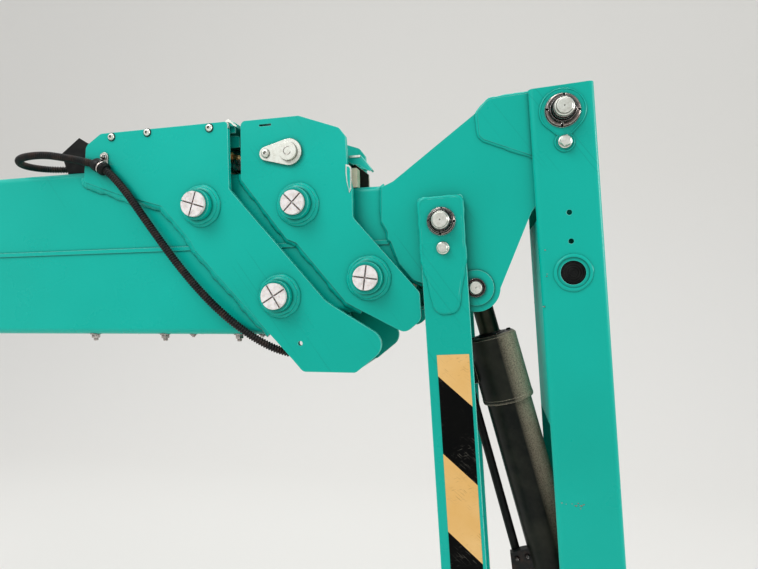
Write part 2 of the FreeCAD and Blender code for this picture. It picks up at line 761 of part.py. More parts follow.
def jib_cylinder():
    """Cylinder in its own frame: base pin at the origin, rod eye up along +Z."""
    lean = math.radians(jib_lean)
    base = JIB_PIVOT + V(math.sin(lean), 0, -math.cos(lean)) * base_drop
    to_eye = CYLINDER_PIVOT - base
    closed = to_eye.Length
    turn = math.degrees(math.atan2(to_eye.x, to_eye.z))

    def stand(shape):
        placed = shape.copy()
        placed.rotate(V(0, 0, 0), Y_AXIS, turn)
        placed.translate(base)
        return placed

    def tube(radius, bore, low, high):
        piece = Part.makeCylinder(radius, high - low, V(0, 0, low))
        if bore:
            piece = piece.cut(Part.makeCylinder(bore, high - low + 2, V(0, 0, low - 1)))
        return piece

    origin = V(0, 0, 0)
    eye = V(0, 0, closed)
    gland_top = closed - gland_to_eye
    gland_low = gland_top - gland_length
    half = eye_width / 2
    barrel = tube(barrel_radius, barrel_bore, cap_top, gland_low)
    barrel = barrel.fuse(tube(barrel_radius, 0, cap_top - 22, cap_top))
    barrel = barrel.fuse(rod_y(origin, eye_radius, -half, half)).removeSplitter()
    barrel = drill(barrel, origin, cylinder_pin_radius + pin_clearance)
    port_low = barrel_port_share * closed
    reach = pipe_offset + pipe_radius + 3
    port_top = port_low + port_height
    barrel = barrel.fuse(block(-reach, -barrel_radius + 4, -15, 15, port_low, port_top)).removeSplitter()
    save("cylinder_barrel", stand(barrel))
    shoulder = gland_top - gland_chamfer
    gland = tube(gland_radius, 0, gland_low, shoulder)
    gland = gland.fuse(Part.makeCone(gland_radius, gland_radius - gland_chamfer, gland_chamfer, V(0, 0, shoulder)))
    gland = gland.cut(Part.makeCylinder(rod_radius + pin_clearance, closed, V(0, 0, 0)))
    port_high = gland_low + gland_port_rise
    top = port_high + port_height
    gland = gland.fuse(block(-reach, -gland_radius + 4, -15, 15, port_high, top)).removeSplitter()
    save("cylinder_gland", stand(gland))
    pipe = Part.makeCylinder(pipe_radius, port_high - port_top, V(-pipe_offset, 0, port_top))
    save("cylinder_pipe", stand(pipe))
    piston_low = cap_top + 8
    rod = Part.makeCylinder(rod_radius, closed - piston_low - eye_radius + 6, V(0, 0, piston_low))
    rod = rod.fuse(Part.makeCylinder(barrel_bore - pin_clearance, 25, V(0, 0, piston_low)))
    rod = rod.fuse(rod_y(eye, eye_radius, -half, half)).removeSplitter()
    rod = rod.cut(rod_y(eye, cylinder_pin_radius, -half - 1, half + 1))
    save("cylinder_rod", stand(rod))
    save("rod_pin_middle", stand(rod_y(eye, cylinder_pin_radius - pin_clearance, -half, half)))


def carrier():
    """Basket carrier between the lower ends of the arm and links."""
    lean = math.radians(jib_lean)
    foot = JIB_PIVOT + V(math.sin(lean), 0, -math.cos(lean)) * jib_length
    link_foot = foot + LINK_PIVOT - JIB_PIVOT
    side = INNER["width"] / 2
    outside = side + head_thickness
    post = foot + V(post_forward, 0, 0)
    high = foot.z + nose_radius
    low = foot.z - carrier_drop
    end = post.x + post_radius + post_margin
    rows = [(foot.x - 20, high, 16), (end, high, 8), (end, low, 12),
            (foot.x + 40, low - 30, 40), (link_foot.x + 10, link_foot.z - 33, 10),
            (link_foot.x - 30, link_foot.z - 20, 20), (link_foot.x - 28, link_foot.z + 24, 20)]
    right = plate(rows, -outside, -side)
    for centre in (foot, link_foot):
        right = drill(right, centre, pin_radius + pin_clearance)
    save("carrier_plates", pair(right))
    tubes = []
    for centre in (foot, link_foot):
        tubes.append(drill(rod_y(centre, tube_radius, -side, side), centre, pin_radius + pin_clearance))
    save("carrier_tubes", Part.makeCompound(tubes))
    post_low = low - post_below
    tube = Part.makeCylinder(post_radius, post_height, V(post.x, 0, post_low))
    tube = tube.cut(Part.makeCylinder(post_bore, post_height + 2, V(post.x, 0, post_low - 1)))
    for z in (foot.z + gusset_rise, low + gusset_low_rise):
        gusset = block(foot.x + gusset_from, end, -side, side, z, z + gusset_thickness)
        gusset = gusset.cut(Part.makeCylinder(post_bore, gusset_thickness + 2, V(post.x, 0, z - 1)))
        tube = tube.fuse(gusset)
    save("carrier_post", tube.removeSplitter())


def conduit_fittings():
    """Glands at both ends of the conduit, and the clip that holds it on the collar."""
    start = CONDUIT_ROUTE[0]
    end = CONDUIT_ROUTE[-1]
    top = block(start.x, start.x + gland_length_x, start.y - gland_half, start.y + gland_half,
                OUTER["top"], start.z + gland_half)
    bottom = block(end.x, end.x + gland_length_x, -OUTER["width"] / 2, end.y + gland_half,
                   end.z - gland_half, end.z + gland_half)
    save("conduit_glands", Part.makeCompound([top, bottom]))
    face = OUTER["width"] / 2 + outer_collar_thickness
    before, after = V(outer_nose, 0, 0) + V(*CLIP_FROM), V(outer_nose, 0, 0) + V(*CLIP_TO)
    along = (after - before).normalize()
    middle = before + (after - before) * clip_share
    half = clip_width / 2
    ring_radius = conduit_radius + clip_clearance + clip_thickness
    ring = Part.makeCylinder(ring_radius, clip_width, middle - along * half, along)
    rear = outer_nose - clip_tab_back
    front = rear + clip_tab_width
    round_end = clip_tab_width / 2 - 0.5
    foot = middle.x - half
    step = clip_tab_low + clip_tab_width
    rows = [(foot, clip_tab_low), (front, clip_tab_low), (front, clip_tab_top, round_end),
            (rear, clip_tab_top, round_end), (rear, step), (foot, step)]
    tab = plate(rows, -face - clip_thickness, -face)
    clip = ring.fuse(tab).removeSplitter()
    clip = clip.cut(Part.makeCylinder(conduit_radius + clip_clearance, 60, middle - along * 30, along))
    save("conduit_clip", clip)


def conduit():
    """Straight runs joined by tangent arcs, each as large as its two runs allow."""
    points = CONDUIT_ROUTE
    edges = []
    start = points[0]
    for before, here, after in zip(points, points[1:], points[2:]):
        back = before - here
        ahead = after - here
        half = back.getAngle(ahead) / 2
        reach = 0.45 * min(back.Length, ahead.Length)
        radius = reach * math.tan(half)
        to_back = V(back).normalize()
        to_ahead = V(ahead).normalize()
        middle = (to_back + to_ahead).normalize()
        first = here + to_back * reach
        last = here + to_ahead * reach
        bulge = here + middle * (radius / math.sin(half) - radius)
        edges.append(Part.LineSegment(start, first).toShape())
        edges.append(Part.Arc(first, bulge, last).toShape())
        print("conduit bend radius %.0f mm" % radius)
        start = last
    edges.append(Part.LineSegment(start, points[-1]).toShape())
    path = Part.Wire(edges)
    circle = Part.Circle(points[0], points[1] - points[0], conduit_radius)
    profile = Part.Wire([circle.toShape()])
    tube = path.makePipeShell([profile], True, False)
    ideal = path.Length * math.pi * conduit_radius ** 2
    print("conduit length %.0f mm, volume over section times length %.4f" % (path.Length, tube.Volume / ideal))
    save("conduit", tube)


def main():
    os.makedirs("parts", exist_ok=True)
    outer_boom()
    rear_pivot()
    lift_lugs()
    middle_boom()
    inner_boom()
    head()
    jib_arm()
    jib_links()
    jib_cylinder()
    carrier()
    conduit_fittings()
    conduit()


main()
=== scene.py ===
# Looks for a telescopic boom with a folded jib: enamel, welds, fasteners, conduit, hoses and tape.
# Metres, in the model's own frame: +X runs to the head, +Z is up, and the right side has negative Y.

import json
import math

import bmesh
import bpy
from mathutils import Matrix, Vector


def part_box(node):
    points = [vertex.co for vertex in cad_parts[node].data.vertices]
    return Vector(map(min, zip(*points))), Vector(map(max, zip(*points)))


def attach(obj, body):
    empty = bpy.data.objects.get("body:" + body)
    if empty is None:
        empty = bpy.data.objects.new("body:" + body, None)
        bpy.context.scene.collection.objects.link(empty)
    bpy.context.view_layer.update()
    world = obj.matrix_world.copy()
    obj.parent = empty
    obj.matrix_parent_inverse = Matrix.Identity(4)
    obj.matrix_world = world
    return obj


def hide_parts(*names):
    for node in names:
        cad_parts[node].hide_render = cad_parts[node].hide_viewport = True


bl_info = {
    "name": "Telescopic boom and jib",
    "version": (1, 0, 0),
    "blender": (4, 5, 0),
    "location": "3D View > Sidebar > Boom",
    "description": "Finishes and small pieces of a telescopic boom with a folded jib",
    "category": "Object",
}

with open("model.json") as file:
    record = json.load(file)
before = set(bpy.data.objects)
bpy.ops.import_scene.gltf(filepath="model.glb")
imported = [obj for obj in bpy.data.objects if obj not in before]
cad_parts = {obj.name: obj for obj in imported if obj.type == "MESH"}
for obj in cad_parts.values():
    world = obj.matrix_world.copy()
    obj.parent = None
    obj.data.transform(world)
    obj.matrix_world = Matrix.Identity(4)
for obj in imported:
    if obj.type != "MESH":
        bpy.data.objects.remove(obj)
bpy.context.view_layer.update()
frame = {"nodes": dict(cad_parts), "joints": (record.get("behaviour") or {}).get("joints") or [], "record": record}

MM = 0.001
RIGHT = -1
LEFT = 1
SIDES = ((RIGHT, "right"), (LEFT, "left"))

# Points that round to the same step of this grid are one point
GRID = 0.01 * MM

# The conduit's route, in metres, from its gland on the boom's top to the one behind the collar's lobe
CONDUIT_ROUTE = [
    (2.318, 0.039, 0.162), (2.262, 0.039, 0.162), (2.204, 0.042, 0.171), (2.148, 0.045, 0.185),
    (2.090, 0.046, 0.190), (2.031, 0.046, 0.188), (1.990, 0.005, 0.182), (1.990, -0.053, 0.178),
    (2.031, -0.094, 0.180), (2.086, -0.095, 0.182), (2.134, -0.094, 0.173), (2.172, -0.093, 0.164),
    (2.214, -0.093, 0.152), (2.255, -0.093, 0.113), (2.313, -0.093, 0.034), (2.378, -0.093, -0.049),
    (2.448, -0.092, -0.119), (2.516, -0.080, -0.169), (2.562, -0.060, -0.188), (2.600, -0.060, -0.188)]

CONDUIT_RADIUS = 7 * MM
CONDUIT_RESOLUTION = 24
CLIP_SPOT = Vector((2.214, -0.093, 0.151))

# Places on the collars, as (x, z)
BUTTON_SPOTS = ((2.226, 0.206), (2.300, 0.208), (2.422, 0.2055))
CHAIN_PIN = (2.5645, 0.1555)

ROD_RADIUS = 17 * MM
GLAND_RADIUS = 41.5 * MM

# The camera's place, its right and down directions, and its focal length over the frame's width
CAMERA_PLACE = Vector((2.88995, -0.86307, -0.06881))
CAMERA_RIGHT = Vector((0.97594, 0.2169, -0.01922))
CAMERA_DOWN = Vector((-0.018467, -0.0055, -0.99984))
SENSOR_WIDTH = 36.0
FOCAL_SHARE = 500 / 758
FLOOR_LEVEL = -1.72


def joint_place(name):
    for joint in frame["joints"]:
        if joint["name"] == name:
            return Vector(joint["pos_m"])
    raise RuntimeError("no joint " + name)


JIB_PIVOT = joint_place("jib_hinge")
LINK_PIVOT = joint_place("link_hinge")
JIB_FOOT = joint_place("carrier_hinge")
CYLINDER_FOOT = joint_place("barrel_swing")
ARM_AXIS = (JIB_FOOT - JIB_PIVOT).normalized()
ARM_FRONT = Vector((-ARM_AXIS.z, 0, ARM_AXIS.x))


# Colours and nodes

def linear(code, alpha=1.0):
    """Linear colour from an sRGB hex code such as #1cab9a."""
    channels = [int(code[i:i + 2], 16) / 255 for i in (1, 3, 5)]
    return [c / 12.92 if c <= 0.04045 else ((c + 0.055) / 1.055) ** 2.4 for c in channels] + [alpha]


def add_node(material, kind, inputs=None, **settings):
    """Adds a shader node. Its inputs, by name or number, are plain values, or outputs or nodes to link."""
    tree = material.node_tree
    node = tree.nodes.new("ShaderNode" + kind)
    for key, value in settings.items():
        setattr(node, key, value)
    for key, value in (inputs or {}).items():
        socket = node.inputs[key] if isinstance(key, int) else \
            next(s for s in node.inputs if s.name == key and s.enabled)
        if isinstance(value, bpy.types.Node):
            value = next(s for s in value.outputs if s.enabled)
        if isinstance(value, bpy.types.NodeSocket):
            tree.links.new(value, socket)
        else:
            socket.default_value = value
    return node


def new_material(name):
    """An empty material, with the place on the object in metres that its patterns start from."""
    material = bpy.data.materials.new(name)
    material.use_nodes = True
    material.node_tree.nodes.clear()
    return material, add_node(material, "TexCoord").outputs["Object"]


def coat(material, inputs):
    """Closes a material with one Principled shader."""
    shader = add_node(material, "BsdfPrincipled", inputs)
    add_node(material, "OutputMaterial", {"Surface": shader})
    return material


# Its sharpness drives the pale edges of the finishes, which are partly wearing and partly painted highlight.
def sharp_edges(material, radius):
    """How sharp the edge at a point is, from 0 to 1, and the normal of the edge rounded to a radius."""
    rounded = add_node(material, "Bevel", {"Radius": radius}, samples=6)
    flat = add_node(material, "NewGeometry").outputs["Normal"]
    cosine = add_node(material, "VectorMath", {0: rounded, 1: flat}, operation="DOT_PRODUCT")
    return add_node(material, "MapRange", {"Value": cosine, "From Min": 0.985, "From Max": 0.86}), rounded


def creases(material, reach):
    """How deep in a corner or groove a point lies, from 0 to 1, for the dirt and the painted shade that gather
    there.
    """
    opening = add_node(material, "AmbientOcclusion", {"Distance": reach}, samples=6).outputs["AO"]
    return add_node(material, "MapRange", {"Value": opening, "From Min": 0.93, "From Max": 0.48})


def streaks(material, place, length, width, turn, share):
    """Thin straight scratches of a length and width, turned in the XZ plane. The share sets how many show."""
    turned = add_node(material, "Mapping", {"Vector": place, "Rotation": (0, turn, 0),
                                            "Scale": (length, length, width)}, vector_type="TEXTURE")
    drawn = add_node(material, "TexNoise", {"Vector": turned, "Scale": 1.0, "Detail": 0.0})
    return add_node(material, "MapRange", {"Value": drawn, "From Min": share, "From Max": share + 0.02})


def patches_of(material, place, size, low, high, detail=4.0):
    """Soft patches about size metres wide, from 0 to 1."""
    cloud = add_node(material, "TexNoise", {"Vector": place, "Scale": 1 / size, "Detail": detail,
                                            "Roughness": 0.62})
    return add_node(material, "MapRange", {"Value": cloud, "From Min": low, "From Max": high})


def laid_over(material, mask, share, under, over):
    """A colour laid over the one under it where a mask shows, by a share that is a number or a node."""
    amount = add_node(material, "Math", {0: mask, 1: share}, operation="MULTIPLY")
    return add_node(material, "Mix", {"Factor": amount, "A": under, "B": over}, data_type="RGBA")


def patchy_finish(material, place, size, span, light, dark, dull, detail=4.0):
    """Colour and roughness that change together over soft patches about size metres wide: the colour from
    light to dark, and the roughness from the first value of dull to the second."""
    cloud = patches_of(material, place, size, *span, detail)
    colour = add_node(material, "Mix", {"Factor": cloud, "A": linear(light), "B": linear(dark)},
                      data_type="RGBA")
    return colour, add_node(material, "MapRange", {"Value": cloud, "To Min": dull[0], "To Max": dull[1]})


def grain_relief(material, place, size, depth, rounded=None, detail=2.0):
    """The normal of a surface with a grain of a size and depth in metres, over the normal of its edges."""
    grain = add_node(material, "TexNoise", {"Vector": place, "Scale": 1 / size, "Detail": detail})
    inputs = {"Height": grain, "Distance": depth}
    if rounded is not None:
        inputs["Normal"] = rounded
    return add_node(material, "Bump", inputs)


# Materials

def teal_enamel(name, pale_edge_amount, shade):
    """Two-pack enamel sprayed on steel: a satin gloss with fine orange peel, with painted shade in its creases and
    corners by the share of shade. Its edges are painted pale by the amount given, partly as wearing and partly as
    painted highlight, most on those that face up or forward towards the painted sun, and it has a few faint
    scratches and, along its edges, specks of rust."""
    colours = bpy.context.scene.boom_colours
    dark = list(colours.enamel_shade)
    material, place = new_material(name)
    edge, rounded = sharp_edges(material, 1.3 * MM)
    tone = patches_of(material, place, 0.5, 0.3, 0.7, 3.0)
    base = laid_over(material, tone, 1.0, list(colours.enamel), list(colours.enamel_deep))
    scratches = streaks(material, place, 0.30, 2.4 * MM, 0.95, 0.74)
    somewhere = patches_of(material, place, 0.25, 0.56, 0.62, 1.0)
    few = add_node(material, "Math", {0: scratches, 1: somewhere}, operation="MULTIPLY")
    marked = laid_over(material, few, 0.28, base, dark)
    # Painted shade: near and broad ambient occlusion darkens creases and corners towards the shaded colour.
    around = add_node(material, "Math", {0: creases(material, 55 * MM), 1: 0.30,
                                         2: creases(material, 9 * MM)},
                      operation="MULTIPLY_ADD", use_clamp=True)
    corner = add_node(material, "Math", {0: around, 1: shade}, operation="MULTIPLY")
    shaded = laid_over(material, corner, 1.0, marked, dark)
    # Pale edges: partly wearing, partly painted highlight. Edges that face up and forward, towards the painted
    # sun, get the most.
    edge_patches = patches_of(material, place, 16 * MM, 0.25, 0.62)
    share = add_node(material, "MapRange", {"Value": edge_patches, "To Min": 0.4 * pale_edge_amount, "To Max": pale_edge_amount})
    worn_and_highlit = add_node(material, "Math", {0: edge, 1: share}, operation="MULTIPLY")
    open_edge = add_node(material, "MapRange", {"Value": corner, "From Min": 0.7, "From Max": 0.35})
    facing_painted_sun = add_node(material, "VectorMath", {0: rounded, 1: (0.80, 0.0, 0.60)}, operation="DOT_PRODUCT")
    sunward_highlight = add_node(material, "MapRange", {"Value": facing_painted_sun, "From Min": -0.1, "From Max": 0.5,
                                              "To Min": 0.25})
    bare_and_highlit = add_node(material, "Math", {0: worn_and_highlit, 1: sunward_highlight}, operation="MULTIPLY")
    edged = laid_over(material, bare_and_highlit, open_edge, shaded, list(colours.enamel_edge))
    specks = patches_of(material, place, 7 * MM, 0.69, 0.72, 2.0)
    colour = laid_over(material, specks, worn_and_highlit, edged, linear("#4a2f24"))
    film = patches_of(material, place, 0.12, 0.3, 0.7)
    gloss = add_node(material, "MapRange", {"Value": film, "To Min": 0.24, "To Max": 0.36})
    slant = add_node(material, "LayerWeight", {"Blend": 0.5}).outputs["Facing"]
    duller = add_node(material, "MapRange", {"Value": slant, "From Min": 0.75, "From Max": 0.95,
                                             "To Max": 0.4})
    dull = add_node(material, "Math", {0: gloss, 1: duller}, operation="ADD")
    relief = grain_relief(material, place, 2.6 * MM, 0.06 * MM, detail=1.0)
    return coat(material, {"Base Color": colour, "Roughness": dull, "Normal": relief, "IOR": 1.5,
                           "Specular IOR Level": 0.2})


def white_acetal():
    """Acetal rod turned on a lathe: waxy weathered white, brown where grease and dirt have settled, darker in its
    grooves with dirt and painted shade, and paler on its edges as painted highlight.
    """
    material, place = new_material("white_acetal_turned")
    edge, rounded = sharp_edges(material, 0.9 * MM)
    base, dull = patchy_finish(material, place, 9 * MM, (0.42, 0.66), "#e8e3e1", "#cdc5c1", (0.40, 0.56))
    spots = patches_of(material, place, 17 * MM, 0.60, 0.72)
    dirty = laid_over(material, spots, 0.6, base, linear("#93857b"))
    # Dirt and painted shade in the grooves.
    groove = laid_over(material, creases(material, 3 * MM), 1.0, dirty, linear("#64544c"))
    # Painted highlight: paler edges.
    colour = laid_over(material, edge, 0.6, groove, linear("#f6f3f1"))
    relief = grain_relief(material, place, 1.3 * MM, 0.06 * MM, rounded)
    return coat(material, {"Base Color": colour, "Roughness": dull, "Normal": relief, "IOR": 1.48,
                           "Subsurface Weight": 0.05, "Subsurface Scale": 2 * MM})


def cream_nylon():
    """Cast nylon, sawn and milled: cream, a little translucent, with faint straight cutter marks."""
    material, place = new_material("cream_nylon_milled")
    rounded = sharp_edges(material, 0.8 * MM)[1]
    colour, dull = patchy_finish(material, place, 20 * MM, (0.4, 0.75), "#fbf2d6", "#e4d9b8", (0.5, 0.5))
    cutter = add_node(material, "TexWave", {"Vector": place, "Scale": 160.0, "Distortion": 1.5},
                      bands_direction="Z")
    relief = add_node(material, "Bump", {"Height": cutter, "Distance": 0.05 * MM, "Normal": rounded})
    return coat(material, {"Base Color": colour, "Roughness": dull, "Normal": relief, "IOR": 1.53,
                           "Subsurface Weight": 0.08, "Subsurface Scale": 3 * MM})


def zinc_plate():
    """Turned steel, zinc plated: pale warm silver, duller where the plating aged, dark in its corners with dirt
    and painted shade, and paler on its edges by wearing and painted highlight.
    """
    material, place = new_material("zinc_plated_steel_turned")
    edge, rounded = sharp_edges(material, 0.5 * MM)
    base, dull = patchy_finish(material, place, 7 * MM, (0.35, 0.7), "#eef0e6", "#c6c5ba", (0.34, 0.5))
    # Dirt and painted shade in the corners.
    grime_and_painted_shade = laid_over(material, creases(material, 2.5 * MM), 1.0, base, linear("#3b3632"))
    # Pale edges: wearing and painted highlight.
    colour = laid_over(material, edge, 0.5, grime_and_painted_shade, linear("#fafaf5"))
    relief = grain_relief(material, place, 0.7 * MM, 0.04 * MM, rounded)
    return coat(material, {"Base Color": colour, "Metallic": 1.0, "Roughness": dull, "Normal": relief})


def oiled_steel(name, light, dark):
    """Turned steel without plating, on nuts, rings and blocks: browned or blacked by heat and oil, or left pale
    where the oil is wiped off, with pale edges from wearing and painted highlight, and black in its corners with
    dirt and painted shade."""
    material, place = new_material(name)
    edge, rounded = sharp_edges(material, 0.9 * MM)
    base, dull = patchy_finish(material, place, 6 * MM, (0.35, 0.7), light, dark, (0.2, 0.38))
    # Dirt and painted shade in the corners.
    grime_and_painted_shade = laid_over(material, creases(material, 4 * MM), 1.0, base, linear("#0d0b0a"))
    # Pale edges: wearing and painted highlight.
    colour = laid_over(material, edge, 1.0, grime_and_painted_shade, linear("#f0ebe8"))
    return coat(material, {"Base Color": colour, "Metallic": 1.0, "Roughness": dull, "Normal": rounded})


def black_enamel():
    """Black machine enamel on the cylinder: a satin film over turned steel, olive with dust, with painted
    sunlight, grey-brown and grained like dust, on the flank that faces the head, which fades out towards the foot,
    and a painted highlight along its edges."""
    material, place = new_material("black_enamel_sprayed")
    edge, rounded = sharp_edges(material, 1.6 * MM)
    base, dull = patchy_finish(material, place, 60 * MM, (0.38, 0.72), "#0b0f0c", "#292a22", (0.34, 0.52))
    normal = add_node(material, "TexCoord").outputs["Normal"]
    # Painted sunlight on the side that faces the head, grained like dust and fading out towards the foot.
    turned_up = add_node(material, "VectorMath", {0: normal, 1: (0.86, -0.30, 0.42)}, operation="DOT_PRODUCT")
    flank = add_node(material, "MapRange", {"Value": turned_up, "From Min": 0.48, "From Max": 0.94})
    grit = patches_of(material, place, 1.8 * MM, 0.22, 0.58, 3.0)
    height = add_node(material, "SeparateXYZ", {"Vector": place}).outputs["Z"]
    fading_down = add_node(material, "MapRange", {"Value": height, "From Min": -0.50, "From Max": -0.38,
                                             "To Min": 0.2})
    sunlit_grit = add_node(material, "Math", {0: grit, 1: fading_down}, operation="MULTIPLY")
    with_painted_sun = laid_over(material, flank, sunlit_grit, base, linear("#bcb098"))
    # Painted highlight: pale edges.
    colour = laid_over(material, edge, 0.9, with_painted_sun, linear("#c9bfa9"))
    relief = grain_relief(material, place, 2.2 * MM, 0.05 * MM, rounded, 1.0)
    return coat(material, {"Base Color": colour, "Roughness": dull, "Normal": relief, "IOR": 1.5,
                           "Specular IOR Level": 0.12})


def hard_chrome():
    """Ground and chromed piston rod under a film of oil and dust, which dulls the mirror to olive grey."""
    material, place = new_material("hard_chrome_ground")
    colour, dull = patchy_finish(material, place, 40 * MM, (0.3, 0.7), "#3a3b30", "#20221b", (0.3, 0.5))
    return coat(material, {"Base Color": colour, "Metallic": 1.0, "Roughness": dull})


def black_rubber():
    """Moulded nitrile rubber: soft black with a greyish bloom and a fine grain."""
    material, place = new_material("black_rubber_moulded")
    colour, dull = patchy_finish(material, place, 12 * MM, (0.4, 0.7), "#080909", "#191a18", (0.42, 0.62))
    relief = grain_relief(material, place, 0.6 * MM, 0.05 * MM)
    return coat(material, {"Base Color": colour, "Roughness": dull, "Normal": relief, "IOR": 1.5,
                           "Specular IOR Level": 0.15})


def black_polyamide():
    """Extruded polyamide conduit: black with a soft plastic sheen, brown dust in patches, and painted shade in its
    grooves.
    """
    material, place = new_material("black_polyamide_extruded")
    base, dull = patchy_finish(material, place, 20 * MM, (0.45, 0.75), "#1d1f1f", "#41312a", (0.34, 0.5))
    # Painted shade: the grooves go near black.
    colour = laid_over(material, creases(material, 2 * MM), 1.0, base, linear("#040202"))
    return coat(material, {"Base Color": colour, "Roughness": dull, "IOR": 1.53, "Specular IOR Level": 0.12})


def tape_vinyl(name, fresh, faded, scuffed):
    """Printed vinyl tape: a flat film, a little faded by sun and washing, with fine straight scuffs."""
    material, place = new_material(name)
    base, dull = patchy_finish(material, place, 60 * MM, (0.3, 0.75), fresh, faded, (0.36, 0.55), 3.0)
    first = streaks(material, place, 20 * MM, 0.9 * MM, 0.7, 0.71)
    second = streaks(material, place, 13 * MM, 0.9 * MM, -0.4, 0.73)
    both = add_node(material, "Math", {0: first, 1: second}, operation="MAXIMUM")
    somewhere = patches_of(material, place, 70 * MM, 0.44, 0.56, 1.0)
    few = add_node(material, "Math", {0: both, 1: somewhere}, operation="MULTIPLY")
    colour = laid_over(material, few, 0.55, base, linear(scuffed))
    relief = grain_relief(material, place, 3 * MM, 0.05 * MM)
    return coat(material, {"Base Color": colour, "Roughness": dull, "Normal": relief, "IOR": 1.52,
                           "Specular IOR Level": 0.04})


def turned_brass():
    """Turned brass hose ends: dull yellow metal, browner in patches."""
    material, place = new_material("brass_turned")
    colour, dull = patchy_finish(material, place, 6 * MM, (0.35, 0.7), "#f3cf96", "#a5763c", (0.3, 0.5))
    return coat(material, {"Base Color": colour, "Metallic": 1.0, "Roughness": dull})


# Reading the model

def grid_key(point):
    """A point rounded to the grid, so that split vertices meet again."""
    return tuple(round(c / GRID) for c in point)


def solid_boxes(node, side=0):
    """Lowest and highest corner of each separate solid in a node, in order along X then Z.
    With a side, only the solids on that side of the plane of symmetry."""
    mesh = frame["nodes"][node].data
    keys = [grid_key(vertex.co) for vertex in mesh.vertices]
    owner = {key: key for key in keys}

    def root(key):
        while owner[key] != key:
            owner[key] = owner[owner[key]]
            key = owner[key]
        return key

    for polygon in mesh.polygons:
        first = root(keys[polygon.vertices[0]])
        for index in polygon.vertices[1:]:
            owner[root(keys[index])] = first
    groups = {}
    for key, vertex in zip(keys, mesh.vertices):
        groups.setdefault(root(key), []).append(vertex.co)
    boxes = []
    for points in groups.values():
        low = Vector(min(p[i] for p in points) for i in range(3))
        high = Vector(max(p[i] for p in points) for i in range(3))
        if side * (low.y + high.y) >= 0:
            boxes.append((low, high))
    return sorted(boxes, key=lambda b: (round(b[0].x, 4), b[0].z))


def face_outlines(node, level):
    """Closed outlines, as (x, z) points, of a node's flat faces in the plane Y = level."""
    mesh = frame["nodes"][node].data
    follows = {}
    for polygon in mesh.polygons:
        points = [mesh.vertices[i].co for i in polygon.vertices]
        if any(abs(p.y - level) > 2 * GRID for p in points):
            continue
        keys = [grid_key(p) for p in points]
        for a, b in zip(keys, keys[1:] + keys[:1]):
            if b in follows and a in follows[b]:
                follows[b].discard(a)
            else:
                follows.setdefault(a, set()).add(b)
    outlines = []
    while any(follows.values()):
        start = next(key for key in follows if follows[key])
        loop = [start]
        here = follows[start].pop()
        while here != start and follows.get(here):
            loop.append(here)
            here = follows[here].pop()
        outlines.append([(key[0] * GRID, key[2] * GRID) for key in loop])
    return sorted(outlines, key=lambda loop: -outline_length(loop))


def outline_length(loop):
    return sum(math.dist(a, b) for a, b in zip(loop, loop[1:] + loop[:1]))


def outline_area(loop):
    return sum(a[0] * b[1] - b[0] * a[1] for a, b in zip(loop, loop[1:] + loop[:1])) / 2


def outer_face(low, high, side):
    """Level of a box's face that looks out on a side."""
    return low.y if side == RIGHT else high.y


def plate_levels(node, side):
    """Outer face and inner face of a node's plates on one side."""
    low, high = solid_boxes(node, side)[0]
    return outer_face(low, high, side), outer_face(low, high, -side)


def span_along(node, foot, axis):
    """Least and greatest distance of a node's points along an axis from a foot."""
    along = [(vertex.co - foot).dot(axis) for vertex in frame["nodes"][node].data.vertices]
    return min(along), max(along)


# Building meshes

def finish_piece(name, mesh_data, body, material, angle=35):
    """Turns a bmesh into an object that rides on a body and has its finish, and keeps edges sharp that turn
    by more than the angle in degrees. Its slot is the finish's own."""
    mesh = bpy.data.meshes.new(name)
    bmesh.ops.recalc_face_normals(mesh_data, faces=mesh_data.faces)
    mesh_data.to_mesh(mesh)
    mesh_data.free()
    piece = bpy.data.objects.new(name, mesh)
    bpy.context.scene.collection.objects.link(piece)
    mesh.materials.append(bpy.data.materials[material])
    mesh.shade_smooth()
    mesh.set_sharp_from_angle(angle=math.radians(angle))
    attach(piece, body)
    return piece


def outward(x, y, z, side):
    """Matrix whose Z axis points away from the boom on that side, at a place in metres."""
    return Matrix.Translation((x, y, z)) @ Matrix.Rotation(-side * math.pi / 2, 4, "X")


def upright(y):
    """Matrix that stands an outline of (x, z) points upright, its prism running along -Y from a level."""
    return Matrix.Translation((0, y, 0)) @ Matrix.Rotation(math.pi / 2, 4, "X")


def lathe(target, matrix, profile, segments=32):
    """Adds a turned form: the profile is (radius, height) from its base to its tip, both ends closed."""
    rings = []
    for radius, height in profile:
        ring = []
        for i in range(segments):
            turn = 2 * math.pi * i / segments
            point = Vector((radius * math.cos(turn), radius * math.sin(turn), height))
            ring.append(target.verts.new(matrix @ point))
        rings.append(ring)
    for low, high in zip(rings, rings[1:]):
        for i in range(segments):
            j = (i + 1) % segments
            target.faces.new((low[i], low[j], high[j], high[i]))
    target.faces.new(rings[0][::-1])
    target.faces.new(rings[-1])


def prism(target, matrix, outline, low, high, inset=0.0):
    """Adds a prism over an outline of (x, y) points, its top corners drawn in by the inset."""

    def ring(points, height):
        return [target.verts.new(matrix @ Vector((x, y, height))) for x, y in points]

    centre = [sum(p[i] for p in outline) / len(outline) for i in (0, 1)]
    inner = []
    for x, y in outline:
        share = 1 - inset / math.dist((x, y), centre)
        inner.append((centre[0] + (x - centre[0]) * share, centre[1] + (y - centre[1]) * share))
    rings = [ring(outline, low), ring(outline, high - inset), ring(inner, high)] if inset else \
        [ring(outline, low), ring(outline, high)]
    count = len(outline)
    for below, above in zip(rings, rings[1:]):
        for i in range(count):
            j = (i + 1) % count
            target.faces.new((below[i], below[j], above[j], above[i]))
    target.faces.new(rings[0][::-1])
    target.faces.new(rings[-1])


